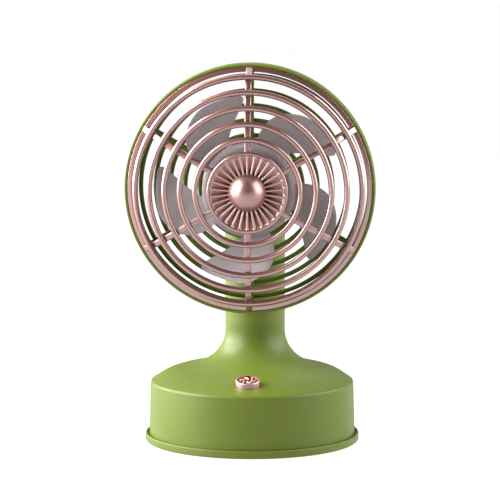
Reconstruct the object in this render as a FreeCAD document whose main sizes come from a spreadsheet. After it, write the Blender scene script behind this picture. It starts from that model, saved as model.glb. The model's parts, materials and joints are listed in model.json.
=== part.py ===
"""Battery desk fan: a drum base with a sloping crown and neck, a fork, a tilting head and a rotor.

Frame: +Z up, the fan blows towards -Y, the origin is on the table under the middle of the base.
Base pieces are drawn in that frame. Head pieces are drawn in the head's own frame, whose origin is
where the head's axis meets the plane of the shroud's widest circle: Y runs rearwards along the axis.
"""
import FreeCAD, Part
import math
import os
import re
import Sketcher

# name, value in millimetres or degrees, what it is
DIMENSIONS = (
    ("foot_radius", 57.0, "rubber foot"),
    ("foot_thickness", 1.5, "rubber foot, also the depth that its recess reaches"),
    ("tray_underside", 0.5, "height of the tray's rim above the table"),
    ("tray_floor_top", 3.5, "upper face of the tray's floor"),
    ("lip_radius", 63.3, "outside of the tray's lip"),
    ("lip_top", 4.6, "top of the tray's lip"),
    ("lip_wall", 1.4, "thickness of the tray's lip"),
    ("lip_round", 1.6, "rounding of the tray's lower edge"),
    ("drum_radius", 61.0, "drum at its foot"),
    ("shoulder_radius", 60.1, "drum where the shoulder's rounding starts"),
    ("shoulder_height", 33.0, "height where the shoulder's rounding starts"),
    ("shoulder_round", 2.7, "rounding of the shoulder"),
    ("crown_radius", 58.5, "crown at its lower edge"),
    ("crown_height", 35.5, "height of the crown's lower edge"),
    ("slide_ease", 1.34, "how early the crown's circles slide back towards the neck"),
    ("wall", 2.2, "wall of the base shell"),
    ("neck_radius", 18.0, "neck and fork"),
    ("neck_offset", 31.5, "neck axis behind the middle of the base"),
    ("neck_start", 66.0, "height where the neck becomes a plain cylinder"),
    ("crown_2_radius", 52.1, "crown's second circle up from its lower edge"),
    ("crown_2_height", 39.3, "height of that circle"),
    ("crown_3_radius", 36.5, "crown's third circle"),
    ("crown_3_height", 43.1, "height of that circle"),
    ("crown_4_radius", 26.7, "crown's fourth circle"),
    ("crown_4_height", 46.2, "height of that circle"),
    ("crown_5_radius", 20.5, "crown's fifth circle"),
    ("crown_5_height", 52.0, "height of that circle"),
    ("crown_6_height", 60.0, "height where the crown has narrowed to the neck"),
    ("neck_top", 70.0, "top of the shell's neck, where the column starts"),
    ("spigot_length", 10.0, "length of the column's spigot in the neck"),
    ("spigot_gap", 0.2, "clearance of the spigot in the neck"),
    ("column_bore", 13.0, "radius of the hollow in the column"),
    ("column_roof", 8.0, "depth of solid column under the fork's slot"),
    ("axis_height", 151.5, "height of the head's axis and of the tilt pivot"),
    ("boss_place", 36.8, "screw boss centres, to each side of both middle lines"),
    ("boss_radius", 4.0, "screw bosses"),
    ("boss_start", 7.0, "height where the shell's bosses stand on the tray's"),
    ("head_seat", 0.5, "rise of a tray screw's seat above the tray's floor"),
    ("tray_screw_top", 18.0, "height of a tray screw's tip"),
    ("tray_screw_radius", 1.5, "shank of a tray screw"),
    ("tray_screw_head", 2.9, "radius of a tray screw's head"),
    ("thread_gap", 0.05, "clearance round a screw in its hole"),
    ("weight_radius", 36.0, "steel weight"),
    ("weight_offset", 16.0, "steel weight ahead of the middle of the base"),
    ("weight_thickness", 4.0, "steel weight"),
    ("cell_radius", 9.2, "battery cell"),
    ("cell_length", 65.0, "battery cell"),
    ("cradle_floor", 1.5, "plastic under the cell"),
    ("board_top", 9.6, "upper face of the control board"),
    ("board_thickness", 1.6, "control board"),
    ("board_width", 34.0, "control board"),
    ("board_front", 24.0, "front edge of the control board"),
    ("board_rear", 54.8, "rear edge of the control board"),
    ("board_screw_radius", 0.9, "shank of a board screw"),
    ("board_screw_head", 1.9, "radius of a board screw's head"),
    ("board_screw_length", 5.0, "board screw under its head"),
    ("board_post_radius", 2.5, "posts under the control board"),
    ("port_width", 8.94, "charging socket"),
    ("port_height", 3.16, "charging socket"),
    ("port_depth", 7.3, "charging socket"),
    ("port_mouth", 60.4, "mouth of the charging socket behind the middle"),
    ("button_radius", 7.0, "power button"),
    ("button_place", 44.0, "power button's top ahead of the middle"),
    ("button_top", 43.0, "height of the power button's top"),
    ("button_tilt", 13.0, "slope of the power button's top"),
    ("button_gap", 0.4, "gap round the power button"),
    ("button_flange", 8.4, "depth of the button's flange below its top"),
    ("stem_depth", 10.4, "depth of the button's stem below its top"),
    ("switch_top", 11.3, "depth of the tact switch's top"),
    ("switch_depth", 14.3, "depth of the switch board's upper face"),
    ("plunger_radius", 1.65, "tact switch plunger"),
    ("post_place", 11.5, "switch board posts, to each side"),
    ("post_radius", 2.0, "switch board posts"),
    ("post_top", 5.2, "depth where those posts have met the crown"),
    ("switch_board_half", 14.5, "half the length of the switch board"),
    ("switch_board_side", 7.0, "half the width of the switch board"),
    ("switch_board_thickness", 1.2, "switch board"),
    ("switch_half", 3.1, "half the width of the tact switch"),
    ("slot_half", 7.5, "half the width of the fork's slot"),
    ("slot_drop", 12.5, "depth of the fork's slot below the pivot"),
    ("slot_rear", 12.0, "reach of the fork's slot behind the pivot"),
    ("bolt_radius", 2.0, "tilt bolt"),
    ("pivot_gap", 0.05, "running clearance of the tilt bolt"),
    ("ear_seat", 10.0, "tilt bolt's seats, to each side"),
    ("seat_radius", 4.3, "counterbore of the tilt bolt's seats"),
    ("bolt_head", 3.5, "radius of the tilt bolt's head"),
    ("nut_corner", 4.04, "corners of the tilt nut"),
    ("nut_thickness", 3.0, "tilt nut and the head of its bolt"),
    ("bolt_end", 13.6, "reach of the tilt bolt's thread"),
    ("cap_seat", 14.2, "inner face of the caps over the bolt's seats"),
    ("cap_recess", 0.6, "caps below the ears' faces"),
    ("washer_radius", 6.0, "tilt washers"),
    ("neck_screw_radius", 1.5, "neck screw"),
    ("neck_screw_start", 12.0, "tip of the neck screw"),
    ("arm_half", 6.8, "half the width of the tilt arm"),
    ("arm_rise", 8.0, "half the height of the tilt arm"),
    ("knuckle_radius", 11.0, "knuckle of the tilt arm"),
    ("head_advance", 20.0, "shroud's widest circle ahead of the middle"),
    ("shroud_front", 8.0, "shroud's front edge ahead of its widest circle"),
    ("shroud_front_radius", 72.0, "shroud's front edge"),
    ("shroud_bulge", 33.0, "curve of the shroud's band across its widest circle"),
    ("shroud_shoulder", 8.5, "where that curve meets the flatter one behind it"),
    ("shroud_shoulder_radius", 71.9, "shroud at that place"),
    ("shroud_curl", 50.0, "curve of the shroud's band behind that place"),
    ("shroud_rear", 14.6, "rear face of the shroud's lip"),
    ("shroud_rear_radius", 69.9, "shroud at its rear edge"),
    ("rabbet_radius", 71.0, "seat of the front grille's rim in the shroud"),
    ("rabbet_depth", 1.2, "seat of the front grille's rim in the shroud"),
    ("shroud_inner", 69.9, "inside of the shroud"),
    ("lip_front", 13.2, "front face of the shroud's rear lip, flush with the rear guard's spokes"),
    ("lip_seat", 69.3, "inside of the shroud at that face"),
    ("lip_inner", 67.8, "shroud's rear lip"),
    ("lock_place", 4.5, "grille's lock screw ahead of the shroud's widest circle"),
    ("lock_radius", 0.9, "shank of the lock screw"),
    ("lock_head", 1.8, "radius of the lock screw's head"),
    ("lock_seat", 0.3, "depth of the lock screw's seat inside the shroud's front edge"),
    ("guard_plane", 12.0, "middle of the rear guard's bars"),
    ("guard_wire", 1.45, "radius of the rear guard's rings"),
    ("guard_first_ring", 30.05, "middle of the rear guard's smallest ring"),
    ("guard_last_ring", 64.8, "middle of the rear guard's largest ring"),
    ("guard_reach", 68.9, "ends of the rear guard's spokes, bonded to the shroud's lip"),
    ("guard_spoke_width", 3.4, "rear guard spokes"),
    ("guard_spoke_depth", 2.4, "rear guard spokes"),
    ("disc_radius", 24.0, "disc in the middle of the rear guard"),
    ("seat_tube", 15.5, "outside of the motor's seat"),
    ("seat_front", 0.8, "front face of the motor's seat ahead of the widest circle"),
    ("seat_hole", 4.2, "hole for the motor's front bearing"),
    ("guard_screw_place", 13.1, "guard screws, to each side of both middle lines"),
    ("guard_screw_radius", 1.1, "shank of a guard screw"),
    ("guard_screw_length", 8.5, "guard screw under its head"),
    ("motor_screw_place", 8.0, "motor screws above and below the axis"),
    ("motor_screw_radius", 1.0, "shank of a motor screw"),
    ("motor_radius", 13.5, "motor can"),
    ("motor_front", 1.0, "front face of the motor can"),
    ("motor_rear", 22.0, "open end of the motor can"),
    ("can_wall", 0.8, "motor can"),
    ("cap_thickness", 2.0, "motor's end cap"),
    ("cap_boss", 4.2, "bearing boss on the end cap"),
    ("bearing_radius", 3.0, "sintered bearings"),
    ("bearing_length", 3.0, "sintered bearings"),
    ("shaft_radius", 1.0, "motor shaft"),
    ("shaft_gap", 0.03, "running clearance of the motor shaft"),
    ("shaft_front", 12.4, "front end of the shaft and its bush"),
    ("shaft_rear", 25.8, "rear end of the shaft"),
    ("armature_front", 5.0, "armature and magnets"),
    ("armature_rear", 17.0, "armature and magnets"),
    ("armature_radius", 9.4, "armature"),
    ("magnet_inner", 10.0, "inside of the magnets"),
    ("press_gap", 0.02, "clearance of parts pressed on the shaft or in the can"),
    ("cover_radius", 22.4, "motor cover at its mouth"),
    ("cover_taper", 1.8, "narrowing of the motor cover towards its rear"),
    ("cover_round", 4.5, "rounding of the motor cover's rear edge"),
    ("cover_rear", 28.5, "rear face of the motor cover"),
    ("cover_wall", 1.8, "motor cover"),
    ("cover_post", 2.6, "screw posts in the motor cover"),
    ("channel_half", 1.6, "half the width of the lead's channel in the arm"),
    ("channel_top", 3.2, "top of that channel under the head's axis"),
    ("channel_bottom", 6.8, "its floor, up to where it opens downwards"),
    ("channel_opening", 36.5, "where it opens downwards"),
    ("channel_rear", 41.6, "its rear end"),
    ("rim_front", 8.3, "front face of the grille's rim"),
    ("rim_outer", 70.8, "grille's rim"),
    ("rim_inner", 68.0, "grille's rim"),
    ("skirt_radius", 69.6, "grille's skirt inside the shroud"),
    ("rim_flange", 1.3, "thickness of the rim's flange on the shroud"),
    ("skirt_rear", 2.0, "rear edge of the grille's skirt ahead of the widest circle"),
    ("wire_radius", 1.7, "front grille's rings"),
    ("spoke_width", 3.8, "front grille's spokes"),
    ("spoke_depth", 2.5, "front grille's spokes, front to back"),
    ("cup_radius", 23.4, "cup in the middle of the front grille"),
    ("cup_inner", 21.5, "inside of that cup"),
    ("cup_front", 29.1, "front edge of that cup"),
    ("cup_floor", 25.5, "floor of that cup"),
    ("cup_thickness", 1.8, "floor of that cup"),
    ("medallion_radius", 21.4, "ribbed medallion"),
    ("medallion_face", 27.3, "medallion's face between its ribs"),
    ("rib_face", 28.4, "tops of the medallion's ribs"),
    ("rib_width", 1.1, "medallion's ribs"),
    ("dome_radius", 10.95, "dome in the middle"),
    ("dome_base", 28.3, "foot of the dome"),
    ("dome_tip", 37.8, "tip of the dome"),
    ("dome_curve", 11.1, "curve of the dome"),
    ("hub_radius", 27.2, "impeller's hub"),
    ("hub_front", 16.0, "front face of the impeller's hub"),
    ("hub_rear", 2.5, "rear edge of the impeller's hub"),
    ("hub_round", 3.0, "rounding of the hub's front edge"),
    ("hub_wall", 1.8, "impeller's hub"),
    ("blade_plane", 9.0, "middle of the blades"),
    ("blade_thickness", 1.6, "blades"),
    ("blade_turn", 29.6, "angle at which the impeller rests, anticlockwise seen from the front"),
    ("bush_radius", 2.6, "bush in the impeller"),
    ("bush_rear", 2.6, "rear end of that bush ahead of the widest circle"),
    ("lead_radius", 1.1, "sleeved leads"),
)

# middle radius of each ring of the front grille, and how far ahead of the widest circle it stands
GRILLE_RINGS = ((30.2, 26.4), (39.0, 26.0), (48.0, 24.4), (56.8, 21.6), (65.4, 16.6))
for number, (radius, advance) in enumerate(GRILLE_RINGS, start=1):
    DIMENSIONS += ((f"ring_{number}_radius", radius, "ring of the front grille"),
                   (f"ring_{number}_advance", advance, "that ring ahead of the widest circle"))

BOSS_SIDES = ((1, 1), (-1, 1), (-1, -1), (1, -1))
GUARD_SPOKES = 6
GUARD_RINGS = 5
MEDALLION_RIBS = 30
BLADES = 5

doc = FreeCAD.newDocument("desk_fan")
sheet = doc.addObject("Spreadsheet::Sheet", "Size")
for row, (name, size, note) in enumerate(DIMENSIONS, start=1):
    sheet.set(f"A{row}", note)
    sheet.set(f"B{row}", str(size))
    sheet.setAlias(f"B{row}", name)
doc.recompute()

NAMES = {name for name, size, note in DIMENSIONS}
finished = []


def cells(expression):
    """Write an expression of dimension names the way the document's expressions need it."""
    return re.sub(r"[a-z]\w+", lambda word: f"Size.{word[0]}" if word[0] in NAMES else word[0], expression)


def value(expression):
    """The number that an expression of dimension names stands for now."""
    return float(sheet.evalExpression(cells(expression)))


def body(label, x="0", y="0", z="0", axis=None, angle="0"):
    """A new sub-part at a place, turned by an angle about an axis through it."""
    made = doc.addObject("PartDesign::Body", label)
    made.Label = label
    if axis:
        made.Placement.Rotation = FreeCAD.Rotation(axis, value(angle))
        made.setExpression("Placement.Rotation.Angle", cells(angle))
    for letter, place in zip("xyz", (x, y, z)):
        made.setExpression(f"Placement.Base.{letter}", cells(place))
    finished.append(made)
    return made


def head_body(label, **turn):
    """A new sub-part drawn in the head's frame."""
    return body(label, y="-head_advance", z="axis_height", **turn)


def button_body(label):
    """A new sub-part drawn square to the button's axis, down from the button's top."""
    across = FreeCAD.Vector(1, 0, 0)
    return body(label, y="-button_place", z="button_top", axis=across, angle="button_tilt")


def origin_feature(owner, role):
    return next(item for item in owner.Origin.OriginFeatures if item.Role == role)


def sketch_on(owner, plane, offset="0", turn=None):
    """A sketch parallel to one of the body's own planes, lifted off it and turned in it."""
    sketch = owner.newObject("Sketcher::SketchObject", "sketch")
    sketch.AttachmentSupport = [(origin_feature(owner, f"{plane}_Plane"), "")]
    sketch.MapMode = "FlatFace"
    if turn:
        sketch.AttachmentOffset.Rotation = FreeCAD.Rotation(FreeCAD.Vector(0, 0, 1), value(turn))
        sketch.setExpression("AttachmentOffset.Rotation.Angle", cells(turn))
    sketch.setExpression("AttachmentOffset.Base.z", cells(offset))
    return sketch


def constrain(sketch, constraint, expression):
    """Add a dimension and bind it to the sheet."""
    index = sketch.addConstraint(constraint)
    name = f"size_{index}"
    sketch.renameConstraint(index, name)
    sketch.setExpression(f".Constraints.{name}", cells(expression))


def pin_point(sketch, geometry, end, x, y):
    """Hold a point of the sketch at a distance from its origin."""
    constrain(sketch, Sketcher.Constraint("DistanceX", -1, 1, geometry, end, value(x)), x)
    constrain(sketch, Sketcher.Constraint("DistanceY", -1, 1, geometry, end, value(y)), y)


def arc_between(start, end, radius):
    """The short arc between two points; a positive radius turns to the left."""
    chord = end - start
    left = FreeCAD.Vector(-chord.y, chord.x, 0).normalize()
    rise = math.sqrt(radius ** 2 - (chord.Length / 2) ** 2)
    centre = (start + end) / 2 + left * math.copysign(rise, radius)
    return Part.Arc(start, centre - left * radius, end)


def outline(sketch, *points):
    """A closed outline through (x, y) points; a third value is the radius of the arc to the next one."""
    places = [FreeCAD.Vector(value(point[0]), value(point[1]), 0) for point in points]
    ends = []
    for number, point in enumerate(points):
        start, end = places[number], places[(number + 1) % len(points)]
        if len(point) == 2:
            ends.append((sketch.addGeometry(Part.LineSegment(start, end)), 1, 2))
            continue
        arc = sketch.addGeometry(arc_between(start, end, value(point[2])))
        clockwise = value(point[2]) < 0
        ends.append((arc, 2, 1) if clockwise else (arc, 1, 2))
    for number, (geometry, first, last) in enumerate(ends):
        following = ends[(number + 1) % len(ends)]
        sketch.addConstraint(Sketcher.Constraint("Coincident", geometry, last, following[0], following[1]))
    for point, (geometry, first, last) in zip(points, ends):
        pin_point(sketch, geometry, first, point[0], point[1])
        if len(point) == 3:
            size = abs(value(point[2]))
            constrain(sketch, Sketcher.Constraint("Radius", geometry, size), f"abs({point[2]})")


def rectangle(sketch, left, right, low, high):
    outline(sketch, (left, low), (right, low), (right, high), (left, high))


def circle(sketch, x, y, radius):
    centre = FreeCAD.Vector(value(x), value(y), 0)
    geometry = sketch.addGeometry(Part.Circle(centre, FreeCAD.Vector(0, 0, 1), value(radius)))
    pin_point(sketch, geometry, 3, x, y)
    constrain(sketch, Sketcher.Constraint("Radius", geometry, value(radius)), radius)


def feature(owner, kind, sketch=None):
    """A PartDesign feature that becomes the body's tip."""
    made = owner.newObject(f"PartDesign::{kind}", kind.lower())
    if sketch:
        made.Profile = sketch
    owner.Tip = made
    return made


def pad(owner, sketch, length, both_ways=False, backwards=False):
    """Material along the sketch's normal, or half of it to each side."""
    made = feature(owner, "Pad", sketch)
    made.SideType = "Symmetric" if both_ways else "One side"
    made.Reversed = backwards
    made.setExpression("Length", cells(length))
    return made


def pocket(owner, sketch, length, both_ways=False, backwards=False):
    """A cut along the sketch's normal, or half of it to each side."""
    made = feature(owner, "Pocket", sketch)
    made.SideType = "Symmetric" if both_ways else "One side"
    made.Reversed = not backwards
    made.setExpression("Length", cells(length))
    return made


def revolve(owner, sketch, axis, angle="360", both_ways=False):
    """Material turned about an axis of the sketch."""
    made = feature(owner, "Revolution", sketch)
    made.ReferenceAxis = (sketch, [f"{axis}_Axis"])
    made.Midplane = both_ways
    made.setExpression("Angle", cells(angle))
    return made


def polar(owner, original, axis, count):
    """Repeat a feature round one of the body's own axes."""
    made = owner.newObject("PartDesign::PolarPattern", "polar")
    made.Originals = [original]
    made.Axis = (origin_feature(owner, f"{axis}_Axis"), [""])
    made.Angle = 360
    made.Occurrences = count
    owner.Tip = made
    return made


def loft(owner, kind, sections):
    """A smooth loft through sketches, AdditiveLoft or SubtractiveLoft."""
    made = feature(owner, kind, sections[0])
    made.Sections = sections[1:]
    made.Ruled = False
    return made


def turned_on_head(label, *points):
    """A sub-part turned about the head's axis, from an outline of (rearward place, radius) points."""
    made = head_body(label)
    sketch = sketch_on(made, "YZ")
    outline(sketch, *points)
    revolve(made, sketch, "H")
    return made


def turned_upright(made, *points):
    """Turn an outline of (radius, height) points about the body's Z axis."""
    sketch = sketch_on(made, "XZ")
    outline(sketch, *points)
    return revolve(made, sketch, "V")


def pins(owner, plane, centres, radius, start, length, cut=False):
    """Round bars, or round holes, of one radius at several centres."""
    sketch = sketch_on(owner, plane, start)
    for x, y in centres:
        circle(sketch, x, y, radius)
    return (pocket if cut else pad)(owner, sketch, length)


def corners(across, along=None):
    """Four centres, one in each quarter."""
    return [(f"{side} * ({across})", f"{end} * ({along or across})") for side, end in BOSS_SIDES]


# ---------------------------------------------------------------- base

def make_foot():
    foot = body("foot_pad")
    pins(foot, "XY", [("0", "0")], "foot_radius", "0", "foot_thickness")


def make_tray():
    """A shallow tray with a thin lip round the shell's foot, screw bosses and board posts."""
    tray = body("base_tray")
    turned_upright(
        tray,
        ("0", "foot_thickness"),
        ("foot_radius + 0.2", "foot_thickness"),
        ("foot_radius + 0.2", "tray_underside"),
        ("lip_radius - lip_round", "tray_underside", "lip_round"),
        ("lip_radius", "tray_underside + lip_round"),
        ("lip_radius", "lip_top - 0.6", "0.6"),
        ("lip_radius - 0.6", "lip_top"),
        ("lip_radius - lip_wall", "lip_top"),
        ("lip_radius - lip_wall", "tray_floor_top"),
        ("0", "tray_floor_top"),
    )
    bosses = corners("boss_place")
    pins(tray, "XY", bosses, "boss_radius + 1", "tray_floor_top", "boss_start - tray_floor_top")
    pins(tray, "XY", bosses, "tray_screw_radius + 0.2", "0", "boss_start", cut=True)
    pins(tray, "XY", bosses, "tray_screw_head + 0.3", "0", "tray_floor_top + head_seat", cut=True)
    posts = board_corners()
    post_height = "board_top - board_thickness - tray_floor_top"
    pins(tray, "XY", posts, "board_post_radius", "tray_floor_top", post_height)
    pins(tray, "XY", posts, "board_screw_radius + thread_gap", "tray_floor_top", "board_top", cut=True)


def board_corners():
    """The control board's four screws."""
    side = "board_width / 2 - 4"
    return [(f"{sign} * ({side})", end) for sign in (1, -1) for end in ("board_front + 4", "board_rear - 8")]


def crown_sections(owner, inset):
    """Circles that slide back and close in from the shoulder to the neck, drawn on planes of their own.

    An inset skin lies lower by a share of the inset that falls as the crown steepens into the neck.
    """
    sections = (
        ("crown_radius - 2 * inset", "crown_height - inset", "0"),
        ("crown_2_radius - inset", "crown_2_height - 1.1 * inset", slide_back("crown_2_radius")),
        ("crown_3_radius - inset", "crown_3_height - inset", slide_back("crown_3_radius")),
        ("crown_4_radius - inset", "crown_4_height - 0.9 * inset", slide_back("crown_4_radius")),
        ("crown_5_radius - inset", "crown_5_height - 0.5 * inset", slide_back("crown_5_radius")),
        ("neck_radius - inset", "crown_6_height", "neck_offset"),
        ("neck_radius - inset", "neck_start", "neck_offset"),
    )
    sketches = []
    for radius, height, centre in sections:
        sketch = sketch_on(owner, "XY", height.replace("inset", inset))
        circle(sketch, "0", centre, radius.replace("inset", inset))
        sketches.append(sketch)
    return sketches


def slide_back(radius):
    """How far back the crown's circle of a radius lies: quickly at first, then easing into the neck."""
    return f"neck_offset * (1 - (({radius} - neck_radius) / (crown_radius - neck_radius)) ^ slide_ease)"


def make_shell():
    """One moulding: drum, sloping crown and neck, hollow and open below."""
    shell = body("base_shell")
    neck = [("0", "neck_offset")]
    turned_upright(
        shell,
        ("0", "tray_floor_top"),
        ("drum_radius", "tray_floor_top"),
        ("shoulder_radius", "shoulder_height", "shoulder_round"),
        ("crown_radius", "crown_height"),
        ("0", "crown_height"),
    )
    loft(shell, "AdditiveLoft", crown_sections(shell, "0"))
    pins(shell, "XY", neck, "neck_radius", "neck_start", "neck_top - neck_start")
    middle = [("0", "0")]
    depth = "crown_height - wall - tray_floor_top"
    pins(shell, "XY", middle, "crown_radius - 2 * wall", "tray_floor_top", depth, cut=True)
    side = "shoulder_height - wall - tray_floor_top"
    pins(shell, "XY", middle, "shoulder_radius - wall", "tray_floor_top", side, cut=True)
    loft(shell, "SubtractiveLoft", crown_sections(shell, "wall"))
    pins(shell, "XY", neck, "neck_radius - wall", "neck_start - 1", "neck_top - neck_start + 2", cut=True)
    add_shell_bosses(shell)
    cut_button_hole(shell)
    cut_port_slot(shell)
    neck_screw_hole = sketch_on(shell, "XZ", "-neck_offset")
    circle(neck_screw_hole, "0", "neck_top - spigot_length / 2", "neck_screw_radius + 2 * thread_gap")
    pocket(shell, neck_screw_hole, "neck_radius + 2", backwards=True)


def add_shell_bosses(shell):
    bosses = corners("boss_place")
    pins(shell, "XY", bosses, "boss_radius", "boss_start", "crown_height - 1 - boss_start")
    pins(shell, "XY", bosses, "tray_screw_radius + thread_gap", "boss_start", "12", cut=True)


def tilted_sketch(owner, depth):
    """A sketch square to the button's axis, at a depth below the button's top."""
    sketch = owner.newObject("Sketcher::SketchObject", "sketch")
    sketch.AttachmentSupport = [(origin_feature(owner, "XY_Plane"), "")]
    sketch.MapMode = "FlatFace"
    lean = FreeCAD.Rotation(FreeCAD.Vector(1, 0, 0), value("button_tilt"))
    sketch.AttachmentOffset = FreeCAD.Placement(FreeCAD.Vector(), lean)
    sketch.setExpression("AttachmentOffset.Rotation.Angle", cells("button_tilt"))
    forward = f"-button_place + ({depth}) * sin(button_tilt)"
    sketch.setExpression("AttachmentOffset.Base.y", cells(forward))
    sketch.setExpression("AttachmentOffset.Base.z", cells(f"button_top - ({depth}) * cos(button_tilt)"))
    return sketch


def cut_button_hole(shell):
    """Two posts for the switch board, and the hole that the button passes through."""
    posts = tilted_sketch(shell, "switch_depth")
    for side in ("post_place", "-post_place"):
        circle(posts, side, "0", "post_radius")
    pad(shell, posts, "switch_depth - post_top")
    hole = tilted_sketch(shell, "switch_depth")
    circle(hole, "0", "0", "button_radius + button_gap")
    pocket(shell, hole, "switch_depth + 4")


def cut_port_slot(shell):
    """A slot with round ends in the drum's rear wall."""
    height = "board_top + port_height / 2"
    half = "port_height / 2 + 0.3"
    reach = "port_width / 2 - port_height / 2"
    slot = sketch_on(shell, "XZ", "-drum_radius - 2")
    rectangle(slot, f"-({reach})", reach, f"{height} - ({half})", f"{height} + ({half})")
    pocket(shell, slot, "8")
    ends = sketch_on(shell, "XZ", "-drum_radius - 2")
    for sign in ("1", "-1"):
        circle(ends, f"{sign} * ({reach})", height, half)
    pocket(shell, ends, "8")


def make_base_fasteners():
    tray_screws = body("tray_screws")
    bosses = corners("boss_place")
    seat = "tray_floor_top + head_seat"
    head = f"{seat} - foot_thickness - 0.1"
    pins(tray_screws, "XY", bosses, "tray_screw_head", "foot_thickness + 0.1", head)
    pins(tray_screws, "XY", bosses, "tray_screw_radius", seat, f"tray_screw_top - ({seat})")

    board_screws = body("board_screws")
    pins(board_screws, "XY", board_corners(), "board_screw_head", "board_top", "1.4")
    pins(board_screws, "XY", board_corners(), "board_screw_radius", "board_top - board_screw_length",
         "board_screw_length")

    neck_screw = body("neck_screw", y="neck_offset", z="neck_top - spigot_length / 2")
    sketch = sketch_on(neck_screw, "YZ")
    outline(sketch, ("neck_screw_start", "0"), ("neck_screw_start", "neck_screw_radius"),
            ("neck_radius - 0.4", "neck_screw_radius"), ("neck_radius - 0.4", "0"))
    revolve(neck_screw, sketch, "H")


def make_ballast_and_battery():
    weight = body("base_weight", y="-weight_offset")
    pins(weight, "XY", [("0", "0")], "weight_radius", "tray_floor_top", "weight_thickness")

    cradle_foot = "tray_floor_top + weight_thickness"
    cell_height = f"{cradle_foot} + cradle_floor + cell_radius"
    cradle = body("battery_cradle", z=cradle_foot)
    block = sketch_on(cradle, "XY")
    rectangle(block, "-34", "34", "-11.5", "11.5")
    pad(cradle, block, "cradle_floor + cell_radius")
    groove = sketch_on(cradle, "YZ")
    circle(groove, "0", "cradle_floor + cell_radius", "cell_radius + 0.1")
    pocket(cradle, groove, "cell_length + 0.6", both_ways=True)

    cell = body("battery_cell", z=cell_height)
    sketch = sketch_on(cell, "XZ")
    half = "cell_length / 2"
    outline(sketch, (f"-{half}", "0"), (f"-{half}", "cell_radius"), (f"{half} - 1.2", "cell_radius"),
            (f"{half} - 1.2", "2.8"), (half, "2.8"), (half, "0"))
    revolve(cell, sketch, "H")

    strap = body("battery_strap", z=cell_height)
    sketch = sketch_on(strap, "XZ")
    rectangle(sketch, "-6", "6", "cell_radius + 0.2", "cell_radius + 1")
    revolve(strap, sketch, "H", angle="178", both_ways=True)


def make_electronics():
    board = body("control_board")
    sketch = sketch_on(board, "XY", "board_top - board_thickness")
    rectangle(sketch, "-board_width / 2", "board_width / 2", "board_front", "board_rear")
    pad(board, sketch, "board_thickness")
    holes = "board_screw_radius + 0.2"
    pins(board, "XY", board_corners(), holes, "board_top - board_thickness", "board_thickness", cut=True)

    connector = body("lead_connector", x="9", y="board_front + 9", z="board_top")
    sketch = sketch_on(connector, "XY")
    rectangle(sketch, "-3.5", "3.5", "-2.5", "2.5")
    pad(connector, sketch, "4")

    make_port()
    make_switch()


def make_port():
    """A charging socket: a flattened metal tube round a tongue."""
    port = body("usb_port", y="port_mouth", z="board_top + port_height / 2")
    reach = "port_width / 2 - port_height / 2"
    for shrink, depth, build in (("0", "port_depth", pad), ("0.3", "port_depth - 1", pocket)):
        for shape in ("middle", "ends"):
            sketch = sketch_on(port, "XZ")
            half = f"port_height / 2 - {shrink}"
            if shape == "middle":
                rectangle(sketch, f"-({reach})", reach, f"-({half})", half)
            else:
                for sign in ("1", "-1"):
                    circle(sketch, f"{sign} * ({reach})", "0", half)
            build(port, sketch, depth)
    tongue = sketch_on(port, "XZ", "0.8")
    rectangle(tongue, "-3.3", "3.3", "-0.35", "0.35")
    pad(port, tongue, "port_depth - 1.2")


def make_switch():
    """The tact switch and its board, square to the button's axis."""
    board = button_body("switch_board")
    sketch = sketch_on(board, "XY", "-switch_depth")
    rectangle(sketch, "-switch_board_half", "switch_board_half", "-switch_board_side", "switch_board_side")
    pad(board, sketch, "switch_board_thickness", backwards=True)
    posts = [("post_place", "0"), ("-post_place", "0")]
    underside = "-switch_depth - switch_board_thickness"
    pins(board, "XY", posts, "board_screw_radius + 0.1", underside, "switch_board_thickness", cut=True)

    screws = button_body("switch_board_screws")
    pins(screws, "XY", posts, "board_screw_head", f"{underside} - 1.2", "1.2")
    pins(screws, "XY", posts, "board_screw_radius", underside, "switch_board_thickness")

    switch = button_body("tact_switch")
    sketch = sketch_on(switch, "XY", "-switch_depth")
    rectangle(sketch, "-switch_half", "switch_half", "-switch_half", "switch_half")
    pad(switch, sketch, "switch_depth - switch_top")
    pins(switch, "XY", [("0", "0")], "plunger_radius + 0.1", "-switch_depth + 0.5", "3", cut=True)


def make_button():
    button = button_body("power_button")
    turned_upright(
        button,
        ("0", "-0.9"),
        ("button_radius - 1.2", "-0.9"),
        ("button_radius - 1.2", "0"),
        ("button_radius - 0.5", "0", "-0.5"),
        ("button_radius", "-0.5"),
        ("button_radius", "1 - button_flange"),
        ("button_radius + 1.2", "1 - button_flange"),
        ("button_radius + 1.2", "-button_flange"),
        ("button_radius - 1.2", "-button_flange"),
        ("button_radius - 1.2", "-2.4"),
        ("2", "-2.4"),
        ("2", "-stem_depth"),
        ("0", "-stem_depth"),
    )
    plunger = button_body("switch_plunger")
    pins(plunger, "XY", [("0", "0")], "plunger_radius", "-stem_depth - 2", "2")


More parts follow.
